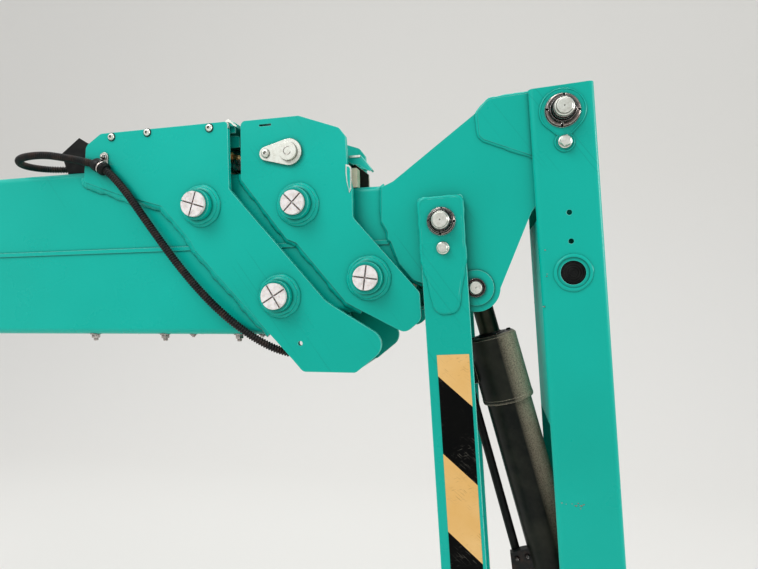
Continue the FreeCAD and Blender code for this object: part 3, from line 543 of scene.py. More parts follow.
def plate_piece(name, body, material, plates, inset=0.0):
    """A piece made of flat plates. Each is an outline of (x, z) points, a level on Y, and how far below and
    above that level its two faces lie, counted towards the right."""
    target = bmesh.new()
    for outline, level, low, high in plates:
        prism(target, upright(level), outline, low, high, inset)
    return finish_piece(name, target, body, material)


def arc(centre, radius, start, step, count):
    """Points on a circle, from a start angle by equal steps in radians."""
    return [(centre[0] + radius * math.cos(start + step * i), centre[1] + radius * math.sin(start + step * i))
            for i in range(count)]


def hexagon(across, turn=0.0):
    """Corners of a hexagon by its width across flats."""
    return arc((0.0, 0.0), across / math.sqrt(3), turn, math.pi / 3, 6)


def resample(points, step, closed=False):
    """Points along a polyline, evenly spaced by about step, without its corners rounded off."""
    points = [Vector(p) for p in points]
    if closed:
        points.append(points[0])
    result = []
    for a, b in zip(points, points[1:]):
        count = max(1, round((b - a).length / step))
        result += [a.lerp(b, i / count) for i in range(count)]
    return result if closed else result + [points[-1]]


def even_points(path, step):
    """Points at equal steps along a smooth line of close points."""
    result = [path[0].copy()]
    left = step
    for a, b in zip(path, path[1:]):
        length = (b - a).length
        done = 0.0
        while length - done >= left:
            done += left
            result.append(a.lerp(b, done / length))
            left = step
        left -= length - done
    return result


def sweep(target, rings, closed=False, caps=True):
    """Adds a skin through rings of points."""
    made = [[target.verts.new(p) for p in ring] for ring in rings]
    count = len(made[0])
    spans = list(zip(made, made[1:])) + ([(made[-1], made[0])] if closed else [])
    for a, b in spans:
        for i in range(count):
            j = (i + 1) % count
            target.faces.new((a[i], a[j], b[j], b[i]))
    if caps and not closed:
        target.faces.new(made[0][::-1])
        target.faces.new(made[-1])


def round_tube(target, path, radius, sides=16):
    """Adds a tube along points. The radius is a number or a function of the length run so far."""
    rings = []
    run = 0.0
    side = None
    for i, point in enumerate(path):
        ahead = path[min(i + 1, len(path) - 1)]
        behind = path[max(i - 1, 0)]
        along = (ahead - behind).normalized()
        run += (point - behind).length
        if side is None:
            side = along.orthogonal().normalized()
        side = (side - along * side.dot(along)).normalized()
        up = along.cross(side)
        size = radius(run) if callable(radius) else radius
        ring = []
        for k in range(sides):
            turn = 2 * math.pi * k / sides
            ring.append(point + (side * math.cos(turn) + up * math.sin(turn)) * size)
        rings.append(ring)
    sweep(target, rings)


def curve_points(route, resolution):
    """Points along the smooth curve that a route's points control."""
    data = bpy.data.curves.new("route", "CURVE")
    data.dimensions = "3D"
    data.resolution_u = resolution
    spline = data.splines.new("NURBS")
    spline.points.add(len(route) - 1)
    for point, place in zip(spline.points, route):
        point.co = (*place, 1)
    spline.order_u = 3
    spline.use_endpoint_u = True
    holder = bpy.data.objects.new("route", data)
    bpy.context.scene.collection.objects.link(holder)
    bpy.context.view_layer.update()
    mesh = bpy.data.meshes.new_from_object(holder)
    points = [vertex.co.copy() for vertex in mesh.vertices]
    bpy.data.meshes.remove(mesh)
    bpy.data.objects.remove(holder)
    bpy.data.curves.remove(data)
    return points


# A weld bead's section: reach out from the plate's edge, and height, in shares of the leg and of the crown
WELD_SECTION = ((-0.3, -0.15), (1.0, -0.15), (0.99, 0.12), (0.86, 0.42), (0.6, 0.72), (0.28, 0.94),
                (-0.02, 1.0), (-0.3, 0.8))
# The slow waves of its toe: their share of the leg, their length over 2 pi, and their phase
WELD_WAVES = ((0.10, 13 * MM, 0.0), (0.07, 5.9 * MM, 1.3), (0.05, 3.1 * MM, 0.4))
RIPPLE_PITCH = 3.4 * MM
RIPPLE_SHARE = 0.045
# Distance between the sections of a bead, and the length of outline under which nothing is welded
WELD_STEP = 1.7 * MM
HOLE_LENGTH = 50 * MM


def weld(target, path, normals, level, side, leg, height, closed=False):
    """Adds a weld bead along (x, z) points on the plane Y = level. Its foot lies on that plane along the
    normals, its crown climbs the plate's edge, and its face is full, with ripples and an uneven toe."""
    rings = []
    run = 0.0
    last = path[0]
    for point, normal in zip(path, normals):
        run += math.dist(point, last)
        last = point
        ripple = RIPPLE_SHARE * math.sin(2 * math.pi * run / RIPPLE_PITCH)
        wander = sum(share * math.sin(run / length + phase) for share, length, phase in WELD_WAVES)
        reach = leg * (1 + ripple + wander)
        crown = height * (1 + ripple + 0.5 * wander)
        rings.append([Vector((point[0] + normal[0] * out * reach, level + side * up * crown,
                              point[1] + normal[1] * out * reach)) for out, up in WELD_SECTION])
    sweep(target, rings, closed=closed)


def outline_normals(path, closed=False):
    """Unit normals of a polyline, to its right as it runs, smoothed over its neighbours."""
    count = len(path)
    normals = []
    for i in range(count):
        if closed:
            a, b = path[i - 1], path[(i + 1) % count]
        else:
            a, b = path[max(i - 1, 0)], path[min(i + 1, count - 1)]
        dx, dz = b[0] - a[0], b[1] - a[1]
        size = math.hypot(dx, dz) or 1.0
        normals.append((dz / size, -dx / size))
    return normals


def weld_runs(points, keep):
    """Parts of a closed line of points for which keep(x, z) holds, and whether the line is kept whole."""
    flags = [keep(*p) for p in points]
    if all(flags):
        return [points], True
    runs = []
    count = len(points)
    start = next((i for i in range(count) if flags[i] and not flags[i - 1]), 0)
    run = []
    for i in range(start, start + count):
        if flags[i % count]:
            run.append(points[i % count])
        elif run:
            runs.append(run)
            run = []
    if run:
        runs.append(run)
    return [r for r in runs if len(r) > 4], False


def weld_outline(target, loop, base, leg, height, keep):
    """Welds the outline of a plate's outer face onto the plane behind it, wherever keep(x, z) holds."""
    if outline_area(loop) < 0:
        loop = loop[::-1]
    points = [(p.x, p.y) for p in resample([(x, z, 0) for x, z in loop], WELD_STEP, closed=True)]
    side = RIGHT if base < 0 else LEFT
    runs, whole = weld_runs(points, keep)
    for run in runs:
        weld(target, run, outline_normals(run, whole), base, side, leg, height, closed=whole)


def outer_loops(node, face):
    """Outlines of a node's faces at a level that run round plates, and not round holes."""
    loops = face_outlines(node, face)
    if not loops:
        raise RuntimeError(node + " has no flat face at " + str(face))
    sign = outline_area(loops[0]) > 0
    return [loop for loop in loops if (outline_area(loop) > 0) == sign and outline_length(loop) > HOLE_LENGTH]


def weld_circle(target, centre, radius, base, leg, height):
    """A weld bead round a boss that stands on the plane Y = base."""
    count = max(24, int(2 * math.pi * radius / WELD_STEP))
    points = arc(centre, radius, 0.0, 2 * math.pi / count, count)
    weld(target, points, outline_normals(points, True), base, RIGHT if base < 0 else LEFT, leg, height,
         closed=True)


# Sizes and colours that a user would change

class BoomSizes(bpy.types.PropertyGroup):
    conduit_pitch: bpy.props.FloatProperty(
        name="Conduit pitch", description="Length of one corrugation", default=4.6 * MM, unit="LENGTH",
        min=0.001)
    conduit_groove: bpy.props.FloatProperty(
        name="Conduit groove", description="Depth of a corrugation", default=1.8 * MM, unit="LENGTH", min=0.0)
    weld_leg: bpy.props.FloatProperty(
        name="Weld leg", description="Leg of the welds round the collar plates", default=11 * MM,
        unit="LENGTH")
    thin_weld_leg: bpy.props.FloatProperty(
        name="Thin weld leg", description="Leg of the welds round doublers and pads", default=4.2 * MM,
        unit="LENGTH")
    button_radius: bpy.props.FloatProperty(
        name="Button head", description="Radius of the collar's button heads", default=6.4 * MM,
        unit="LENGTH")
    bolt_across: bpy.props.FloatProperty(
        name="Keeper bolt", description="Width across flats of the pin keepers' bolts", default=15 * MM,
        unit="LENGTH")
    tape_width: bpy.props.FloatProperty(
        name="Tape width", description="Width of the hazard tape", default=50 * MM, unit="LENGTH")
    tape_stripe: bpy.props.FloatProperty(
        name="Tape stripe", description="Length of one stripe along the tape", default=121.5 * MM,
        unit="LENGTH")
    hose_radius: bpy.props.FloatProperty(
        name="Hose radius", description="Radius of the hoses on the middle section", default=8 * MM,
        unit="LENGTH")


class BoomColours(bpy.types.PropertyGroup):
    enamel: bpy.props.FloatVectorProperty(
        name="Enamel", description="Main colour of the enamel", subtype="COLOR", size=4, min=0, max=1,
        default=linear("#05b1a1"))
    enamel_deep: bpy.props.FloatVectorProperty(
        name="Enamel, deep", description="Where the coat is thick or less faded", subtype="COLOR", size=4,
        min=0, max=1, default=linear("#00a594"))
    enamel_shade: bpy.props.FloatVectorProperty(
        name="Enamel, shaded", description="Colour in creases and scratches", subtype="COLOR", size=4, min=0,
        max=1, default=linear("#02695d"))
    # Pale edge colour: wearing and painted highlight.
    enamel_edge: bpy.props.FloatVectorProperty(
        name="Enamel, edges", description="Colour along worn edges", subtype="COLOR", size=4, min=0, max=1,
        default=linear("#a9f0e4"))
    backdrop: bpy.props.FloatVectorProperty(
        name="Backdrop", description="Colour of the floor and the backdrop", subtype="COLOR", size=4, min=0,
        max=1, default=linear("#ebe9e5"))


# Pieces

class BOOM_OT_finish_frame(bpy.types.Operator):
    """Makes the materials and gives every node of the model its own"""
    bl_idname = "boom.finish_frame"
    bl_label = "Finish the model"

    def execute(self, context):
        finishes = {
            "teal_paint": teal_enamel("teal_enamel_sprayed", 0.9, 0.8), "white_plastic": white_acetal(),
            "cream_nylon": cream_nylon(), "zinc_steel": zinc_plate(), "cylinder_paint": black_enamel(),
            "chrome_rod": hard_chrome(), "black_rubber": black_rubber(), "black_plastic": black_polyamide()}
        # Enamel on the links and the sheets has more pale edge, as wearing and painted highlight. Over the welds
        # it has the most painted shade in its creases.
        by_node = {"jib_links": teal_enamel("teal_enamel_worn_and_highlit_on_links", 2.4, 0.6)}
        teal_enamel("teal_enamel_over_welds", 0.0, 1.0)
        teal_enamel("teal_enamel_worn_and_highlit_on_sheet", 3.6, 0.4)
        tape_vinyl("amber_vinyl_printed", "#dcae68", "#e3ba7b", "#8f6c3c")
        tape_vinyl("black_vinyl_printed", "#050606", "#0a0a09", "#6f6c64")
        turned_brass()
        oiled_steel("steel_browned_in_oil", "#a0948d", "#453b36")
        # Blacked steel, also used as painted shade on the pins' threads and under their nuts.
        oiled_steel("steel_blacked_in_oil_and_painted_shade", "#3b3431", "#171412")
        oiled_steel("steel_rubbed_bright", "#cfc6c0", "#857a74")
        for part in frame["record"]["subparts"]:
            node = frame["nodes"][part["node"]]
            finish = by_node.get(part["node"], finishes[part["material_slot"]])
            for i in range(len(node.data.materials)):
                node.data.materials[i] = finish
        return {"FINISHED"}


class BOOM_OT_conduit(bpy.types.Operator):
    """Corrugated conduit that loops over the boom's top and runs down the collar plate"""
    bl_idname = "boom.conduit"
    bl_label = "Conduit"

    def execute(self, context):
        sizes = context.scene.boom_sizes
        path = curve_points(CONDUIT_ROUTE, CONDUIT_RESOLUTION)
        depths = (0.0, 0.0, 0.25, 1.0, 1.0, 0.25)
        steps = len(depths)

        def ribbed(run):
            """Square ribs. Their pitch is more than the real 3 mm, so that they show."""
            step = round(run / sizes.conduit_pitch * steps) % steps
            return CONDUIT_RADIUS - sizes.conduit_groove * depths[step]

        target = bmesh.new()
        round_tube(target, even_points(path, sizes.conduit_pitch / steps), ribbed)
        piece = finish_piece("corrugated_conduit", target, "outer_boom", "black_polyamide_extruded", 60)
        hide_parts("conduit")
        return {"FINISHED"}


class BOOM_OT_welds(bpy.types.Operator):
    """Welds round the plates, bosses, doublers and pads, with the ripples that the torch leaves"""
    bl_idname = "boom.welds"
    bl_label = "Welds"

    def execute(self, context):
        thick, thin = context.scene.boom_sizes.weld_leg, context.scene.boom_sizes.thin_weld_leg
        # Name, body, node, leg, height, and where along a plate's outline the bead runs
        beads = (
            ("collar_one_welds", "outer_boom", "outer_collar_plates", thick, 7.2 * MM,
             lambda x, z: -0.150 < z < 0.137 and x < 2.40 + (0.072 - z) * 0.9),
            ("collar_two_welds", "middle_boom", "middle_collar_plates", thick * 0.8, 7 * MM,
             lambda x, z: -0.112 < z < 0.127 and x < 2.60 + (0.072 - z) * 0.75),
            ("head_welds", "inner_boom", "head_plates", thin * 1.3, 5 * MM,
             lambda x, z: x < 2.81 and -0.069 < z < 0.092),
            ("head_doubler_welds", "inner_boom", "head_doublers", thin, 3.4 * MM, lambda x, z: x < 2.96),
            ("arm_pad_welds", "jib_arm", "arm_keyhole_pads", thin * 0.5, 2.6 * MM, lambda x, z: True),
            ("link_doubler_welds", "jib_links", "link_doublers", thin, 3.2 * MM, lambda x, z: True),
            ("pivot_lug_welds", "outer_boom", "pivot_lugs", thick * 0.8, 6 * MM,
             lambda x, z: x > 0.066 and abs(z) < 0.118))
        for side, word in SIDES:
            for name, body, node, leg, height, keep in beads:
                face, base = plate_levels(node, side)
                target = bmesh.new()
                for loop in outer_loops(node, face):
                    weld_outline(target, loop, base, leg, height, keep)
                if not target.verts:
                    raise RuntimeError(name + " is empty")
                self.close(name + "_" + word, target, body)
            self.lug_fillets(side, word, thick * 0.7)
            self.bosses("outer", "outer_boom", side, word)
            self.bosses("middle", "middle_boom", side, word)
        return {"FINISHED"}

    def close(self, name, target, body):
        finish_piece(name, target, body, "teal_enamel_over_welds", 60)

    def lug_fillets(self, side, word, leg):
        """Fillets where the lift lugs meet the boom's underside, short of each lug's two ends."""
        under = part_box("outer_boom_tube")[0].z
        short = 3 * MM
        target = bmesh.new()
        for low, high in solid_boxes("lift_lugs", side):
            count = int((high.x - low.x - 2 * short) / WELD_STEP)
            path = [(low.x + short + i * WELD_STEP, under) for i in range(count)]
            weld(target, path, [(0.0, -1.0)] * count, outer_face(low, high, side), side, leg, leg)
        self.close("lift_lug_welds_" + word, target, "outer_boom")

    def bosses(self, section, body, side, word):
        """Beads at the foot of each pad adjuster's boss, and where the boss stands on its ring."""
        boss_radius, ring_height = 26 * MM, 4 * MM
        target = bmesh.new()
        for low, high in solid_boxes(section + "_adjuster_bosses", side):
            centre = ((low.x + high.x) / 2, (low.z + high.z) / 2)
            base = outer_face(low, high, -side)
            rim = (high.x - low.x) / 2
            weld_circle(target, centre, rim - 2 * MM, base, 5.5 * MM, 4.2 * MM)
            weld_circle(target, centre, boss_radius, base + side * ring_height,
                        max(5 * MM, rim - boss_radius - 1 * MM), 4 * MM)
        self.close(section + "_boss_welds_" + word, target, body)


def button_head(target, matrix, radius, height):
    """Low round head with a socket."""
    lathe(target, matrix, [(radius, -2 * MM), (radius, 0.3 * height), (0.93 * radius, 0.6 * height),
                           (0.8 * radius, 0.88 * height), (0.64 * radius, height), (0.46 * radius, height),
                           (0.42 * radius, height - 0.5 * MM), (0.40 * radius, height - 2.8 * MM)], 30)


def hex_bolt(target, matrix, across, height, washer):
    """Flanged hexagon head with a chamfered crown."""
    lathe(target, matrix, [(washer, -1 * MM), (washer, 1.6 * MM), (washer - 0.8 * MM, 2.4 * MM),
                           (across * 0.5, 2.8 * MM)], 32)
    prism(target, matrix, hexagon(across, 0.3), 0.5 * MM, height - 0.9 * MM, 0.6 * MM)
    lathe(target, matrix, [(across * 0.50, height - 1.5 * MM), (across * 0.48, height - 0.6 * MM),
                           (across * 0.43, height), (across * 0.2, height + 0.2 * MM)], 28)


class BOOM_OT_fasteners(bpy.types.Operator):
    """Screws of the collars and the chain pin's keeper, the jib's keeper bolts, and nuts under the boom"""
    bl_idname = "boom.fasteners"
    bl_label = "Fasteners"

    def execute(self, context):
        sizes = context.scene.boom_sizes
        button = sizes.button_radius
        # Name, body, plates that the bolt stands on, the pivot above it, and how far down it sits
        keepers = (("arm_keeper_bolt_", "jib_arm", "arm_keyhole_pads", JIB_PIVOT, 47 * MM),
                   ("link_keeper_bolt_", "jib_links", "link_doublers", LINK_PIVOT, 42 * MM))
        for side, word in SIDES:
            plate = plate_levels("outer_collar_plates", side)[0]
            heads, washers = bmesh.new(), bmesh.new()
            for x, z in BUTTON_SPOTS:
                place = outward(x, plate, z, side)
                button_head(heads, place, button, 4 * MM)
                # Painted shadow: a black rubber ring round each button head.
                lathe(washers, place, [(button + 1.3 * MM, -1 * MM), (button + 1.3 * MM, 0.5 * MM),
                                       (button + 0.6 * MM, 0.9 * MM), (button - 1 * MM, 0.9 * MM)], 28)
            finish_piece("button_heads_" + word, heads, "outer_boom", "zinc_plated_steel_turned")
            finish_piece("shadow_washers_" + word, washers, "outer_boom", "black_rubber_moulded")
            for name, body, plates, pivot, down in keepers:
                spot = pivot + ARM_AXIS * down + ARM_FRONT * 0.3 * MM
                place = outward(spot.x, plate_levels(plates, side)[0], spot.z, side)
                target = bmesh.new()
                hex_bolt(target, place, sizes.bolt_across, 10 * MM, 9.8 * MM)
                finish_piece(name + word, target, body, "zinc_plated_steel_turned")
        self.keeper_marks()
        self.underside_nuts()
        return {"FINISHED"}

    def keeper_marks(self):
        """The screw of the chain pin's keeper, and the curved scrape on the keeper's face."""
        target = bmesh.new()
        plate = plate_levels("middle_collar_plates", RIGHT)[0]
        button_head(target, outward(2.523, plate - 6 * MM, CHAIN_PIN[1], RIGHT), 7 * MM, 3 * MM)
        finish_piece("keeper_screw", target, "middle_boom", "zinc_plated_steel_turned")
        target = bmesh.new()
        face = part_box("chain_pin_keeper")[0].y
        scrape = []
        for i in range(31):
            turn, reach = math.radians(70 + 9 * i), (7.4 - 0.06 * i) * MM
            scrape.append(Vector((CHAIN_PIN[0] + reach * math.cos(turn), face + 0.1 * MM,
                                  CHAIN_PIN[1] + reach * math.sin(turn))))
        round_tube(target, scrape, 0.6 * MM, 8)
        finish_piece("keeper_scrape", target, "middle_boom", "steel_browned_in_oil")

    def underside_nuts(self):
        """Rows of two nuts on their washers under the nose of the outer section."""
        target = bmesh.new()
        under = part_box("outer_boom_tube")[0].z
        # Place along the boom, width across flats, and height
        rows = ((2.164, 13 * MM, 13 * MM), (2.312, 13 * MM, 13 * MM), (2.459, 13 * MM, 13 * MM),
                (2.369, 9 * MM, 6 * MM), (2.503, 9 * MM, 6 * MM))
        for x, across, height in rows:
            for y in (-0.060, 0.060):
                place = Matrix.Translation((x, y, under)) @ Matrix.Rotation(math.pi, 4, "X")
                lathe(target, place, [(across * 0.72, -1 * MM), (across * 0.72, 1.4 * MM),
                                      (across * 0.4, 1.5 * MM)], 24)
                prism(target, place, hexagon(across), 1.6 * MM, height * 0.6, 0.6 * MM)
                lathe(target, place, [(across * 0.31, 0), (across * 0.31, height - 0.8 * MM),
                                      (across * 0.24, height)], 20)
        finish_piece("underside_nuts", target, "outer_boom", "steel_rubbed_bright")


class BOOM_OT_pins(bpy.types.Operator):
    """The jib's threaded pins with a collar on each nut, and the retaining rings of the cylinder's pins"""
    bl_idname = "boom.pins"
    bl_label = "Pins"

    def execute(self, context):
        self.threaded_pins("arm_pins", "arm_nuts", "jib_arm", 16.4 * MM, 11.1 * MM)
        self.threaded_pins("link_pins", "link_nuts", "jib_links", 15.5 * MM, 11.6 * MM)
        for side, word in SIDES:
            for name, node, body in (("rod_", "cylinder_pin_ends", "inner_boom"),
                                     ("base_", "cylinder_base_pin", "jib_arm")):
                low, high = solid_boxes(node, side)[0]
                centre = (low + high) / 2
                place = outward(centre.x, outer_face(low, high, side), centre.z, side)
                self.pin_cap(name + word, body, place)
        return {"FINISHED"}

    def threaded_pins(self, node, nut, body, thread, face):
        """Pins with a bright stepped end beyond their thread, each end in a slotted round nut with a collar. The
        thread, its collar and a thin ring under each nut are dark blacked steel, as painted shade. The thread's
        pitch is coarser than the real 1.5 mm, so that it shows."""
        pitch = 2.6 * MM
        pins, threads, collars, nuts = bmesh.new(), bmesh.new(), bmesh.new(), bmesh.new()
        step = (thread + face) / 2
        collar = thread + 3.4 * MM
        for (low, high), (pin_low, pin_high) in zip(solid_boxes(nut, RIGHT), solid_boxes(node)):
            centre = (low + high) / 2
            shank = (pin_high.z - pin_low.z) / 2
            rim = (high.z - low.z) / 2
            tip, shoulder = -pin_low.y, -high.y
            seat = shoulder + 4.5 * MM
            half = [(shank, shoulder - 0.5 * MM), (thread - 1.6 * MM, shoulder + 0.5 * MM),
                    (thread - 1.6 * MM, tip - 7.6 * MM), (step, tip - 7.4 * MM), (step, tip - 4.0 * MM),
                    (step - 0.8 * MM, tip - 3.2 * MM), (face - 0.2 * MM, tip - 3.1 * MM),
                    (face, tip - 2.6 * MM), (face, tip - 0.7 * MM), (face - 0.7 * MM, tip),
                    (1.6 * MM, tip), (0.4 * MM, tip - 1.2 * MM)]
            profile = [(radius, -height) for radius, height in reversed(half)] + half
            lathe(pins, outward(centre.x, 0, centre.z, RIGHT), profile, 44)
            crests = [(thread - 1.4 * MM, seat + 1 * MM)]
            height = seat + 2 * MM
            while height < tip - 9.4 * MM:
                crests += [(thread - 1.3 * MM, height), (thread, height + 0.9 * MM),
                           (thread, height + 1.5 * MM)]
                height += pitch
            crests += [(thread - 1.3 * MM, tip - 8.0 * MM), (step + 0.2 * MM, tip - 7.2 * MM)]
            for side in (RIGHT, LEFT):
                # Painted shade: the thread crests are dark blacked steel.
                lathe(threads, outward(centre.x, 0, centre.z, side), crests, 44)
                lathe(collars, outward(centre.x, side * seat, centre.z, side),
                      [(collar, -1 * MM), (collar, 2.6 * MM), (collar - 1.2 * MM, 3.8 * MM),
                       (thread + 1.0 * MM, 3.8 * MM), (thread + 0.1 * MM, 2.6 * MM)], 40)
                place = outward(centre.x, side * shoulder, centre.z, side)
                # Painted shadow: a dark ring just under each nut's rim.
                lathe(collars, place, [(rim - 0.3 * MM, -0.4 * MM), (rim - 0.4 * MM, 0.5 * MM),
                                       (rim - 4 * MM, 0.9 * MM)], 48)
                prism(nuts, place, self.slotted(rim - 1.3 * MM), 0.3 * MM, seat - shoulder, 1.2 * MM)
        piece = finish_piece("turned_" + node, pins, body, "zinc_plated_steel_turned", 25)
        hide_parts(node)
        finish_piece(node[:-1] + "_threads", threads, body, "steel_blacked_in_oil_and_painted_shade", 25)
        finish_piece(nut[:-1] + "_collars", collars, body, "steel_blacked_in_oil_and_painted_shade", 25)
        piece = finish_piece("slotted_" + nut, nuts, body, "steel_browned_in_oil", 25)
        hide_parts(nut)

    def slotted(self, rim):
        """Outline of a round nut with four narrow spanner slots."""
        half, depth = math.asin(1.9 * MM / rim), 3.4 * MM
        ring = []
        for quarter in range(4):
            middle = quarter * math.pi / 2 - 0.07
            ring += arc((0.0, 0.0), rim - depth, middle - half, 2 * half, 2)
            ring += arc((0.0, 0.0), rim, middle + half, (math.pi / 2 - 2 * half) / 16, 17)
        return ring

    def pin_cap(self, word, body, place):
        """The turned end of a cylinder pin: a bright centre inside a dark spring ring and its groove."""
        ring, centre = bmesh.new(), bmesh.new()
        lathe(ring, place, [(15.2 * MM, -2 * MM), (15.2 * MM, 0.5 * MM), (14.4 * MM, 1.2 * MM),
                            (11.0 * MM, 1.2 * MM), (10.6 * MM, 0.6 * MM)], 40)
        finish_piece("spring_ring_" + word, ring, body, "steel_blacked_in_oil_and_painted_shade")
        lathe(centre, place, [(9.9 * MM, -1 * MM), (9.9 * MM, 2.6 * MM), (9.0 * MM, 3.4 * MM),
                              (1.6 * MM, 3.4 * MM), (0.5 * MM, 2.6 * MM)], 36)
        finish_piece("pin_centre_" + word, centre, body, "zinc_plated_steel_turned")


class BOOM_OT_hazard_tape(bpy.types.Operator):
    """Yellow and black striped tape down both links"""
    bl_idname = "boom.hazard_tape"
    bl_label = "Hazard tape"

    def execute(self, context):
        sizes = context.scene.boom_sizes
        # Distances below the link's pivot: the tape's two ends, and its first slanted cut on the rear edge
        top, end, first = 208.7 * MM, 748 * MM, 242 * MM
        fall, forward, columns = 48 * MM, 4.7 * MM, 20
        bounds = [None] + [first + i * sizes.tape_stripe for i in range(6)]
        for side, word in SIDES:
            level = plate_levels("jib_links", side)[0]
            for colour, parity in (("amber", 0), ("black", 1)):
                target = bmesh.new()
                for i in range(parity, len(bounds), 2):
                    rows = []
                    for column in range(columns + 1):
                        share = column / columns
                        upper = top if bounds[i] is None else bounds[i] + fall * share
                        lower = bounds[i + 1] + fall * share if i + 1 < len(bounds) else end
                        rows.append((share, min(upper, end), min(lower, end)))
                    for (s0, u0, l0), (s1, u1, l1) in zip(rows, rows[1:]):
                        if min(l0 - u0, l1 - u1) < 0.2 * MM:
                            continue
                        made = []
                        for share, down in ((s0, u0), (s1, u1), (s1, l1), (s0, l0)):
                            across = ARM_FRONT * (forward + (share - 0.5) * sizes.tape_width)
                            spot = LINK_PIVOT + across + ARM_AXIS * down
                            made.append(target.verts.new((spot.x, level + side * 0.35 * MM, spot.z)))
                        target.faces.new(made)
                bmesh.ops.remove_doubles(target, verts=target.verts, dist=GRID)
                shell = bmesh.ops.extrude_face_region(target, geom=target.faces[:])
                for vertex in [v for v in shell["geom"] if isinstance(v, bmesh.types.BMVert)]:
                    vertex.co.y -= side * 0.45 * MM
                finish_piece("tape_" + colour + "_" + word, target, "jib_links",
                             colour + "_vinyl_printed", 30)
        return {"FINISHED"}


class BOOM_OT_clip(bpy.types.Operator):
    """Steel clip with a rubber cushion that holds the conduit on the collar plate"""
    bl_idname = "boom.clip"
    bl_label = "Conduit clip"

    def execute(self, context):
        path = curve_points(CONDUIT_ROUTE, CONDUIT_RESOLUTION)
        middle = min(range(len(path)), key=lambda i: (path[i] - CLIP_SPOT).length)
        along = (path[middle + 4] - path[middle - 4]).normalized()
        wall = plate_levels("outer_collar_plates", RIGHT)[0]
        # Profiles as shift along the conduit and radius, in millimetres
        cushion = [(-16.0, 8.0), (-15.4, 11.0), (-13.6, 12.3), (-4.0, 12.4), (-3.0, 11.2), (2.2, 11.2),
                   (3.2, 12.4), (6.4, 12.2), (8.6, 11.2), (9.8, 9.6), (10.2, 8.0)]
        band = [(-1.5, 11.1), (-1.5, 12.0), (0.9, 12.0), (0.9, 11.1)]
        for name, profile, material, angle in (("clip_cushion", cushion, "black_rubber_moulded", 45),
                                               ("clip_band", band, "steel_rubbed_bright", 35)):
            target = bmesh.new()
            sweep(target, [self.ring(path[middle] + along * shift * MM, along, radius * MM, wall)
                           for shift, radius in profile])
            finish_piece(name, target, "outer_boom", material, angle)

        bolt = (2.2110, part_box("conduit_clip")[1].z - 8 * MM)
        thick = 2.2 * MM
        foot = [(2.1965, 0.1560), (2.2060, 0.1570), (2.2175, 0.1590)]
        outline = foot + arc(bolt, 8 * MM, math.radians(-20), math.radians(27.5), 9) + [(2.1965, 0.1640)]
        tab = plate_piece("clip_tab", "outer_boom", "zinc_plated_steel_turned", [(outline, wall, 0, thick)])
        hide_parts("conduit_clip")

        place = outward(bolt[0], wall - thick, bolt[1], RIGHT)
        nut, stud = bmesh.new(), bmesh.new()
        lathe(nut, place, [(5.6 * MM, -0.5 * MM), (5.6 * MM, 0.7 * MM), (4.6 * MM, 1.0 * MM)], 24)
        prism(nut, place, hexagon(8.5 * MM, 0.4), 0.5 * MM, 5.5 * MM, 0.7 * MM)
        finish_piece("clip_nut", nut, "outer_boom", "steel_browned_in_oil")
        lathe(stud, place, [(2.4 * MM, 5 * MM), (2.4 * MM, 6.4 * MM), (1.8 * MM, 7.0 * MM)], 18)
        finish_piece("clip_stud", stud, "outer_boom", "zinc_plated_steel_turned")
        return {"FINISHED"}

    def ring(self, centre, along, radius, wall):
        """A circle of points across the conduit, flattened where it meets the plate."""
        side = along.orthogonal().normalized()
        up = along.cross(side)
        points = []
        for across, rise in arc((0.0, 0.0), radius, 0.0, math.pi / 16, 32):
            point = centre + side * across + up * rise
            point.y = min(point.y, wall - 0.1 * MM)
            points.append(point)
        return points


class BOOM_OT_flap(bpy.types.Operator):
    """Thin rubber flaps that shut the collar's rear corners above the boom. Their black is painted shade."""
    bl_idname = "boom.flap"
    bl_label = "Rubber flaps"

    def execute(self, context):
        outline = [(2.0973, 0.1897), (2.1377, 0.2171), (2.156, 0.206), (2.185, 0.200), (2.185, 0.1508),
                   (2.112, 0.1508)]
        # Painted shade: black sheets where the plate there lies in shade.
        for side, word in SIDES:
            plate_piece("collar_shade_flap_" + word, "outer_boom", "black_rubber_moulded",
                        [(outline, side * 0.062, -1.5 * MM, 1.5 * MM)], 0.4 * MM)
        return {"FINISHED"}


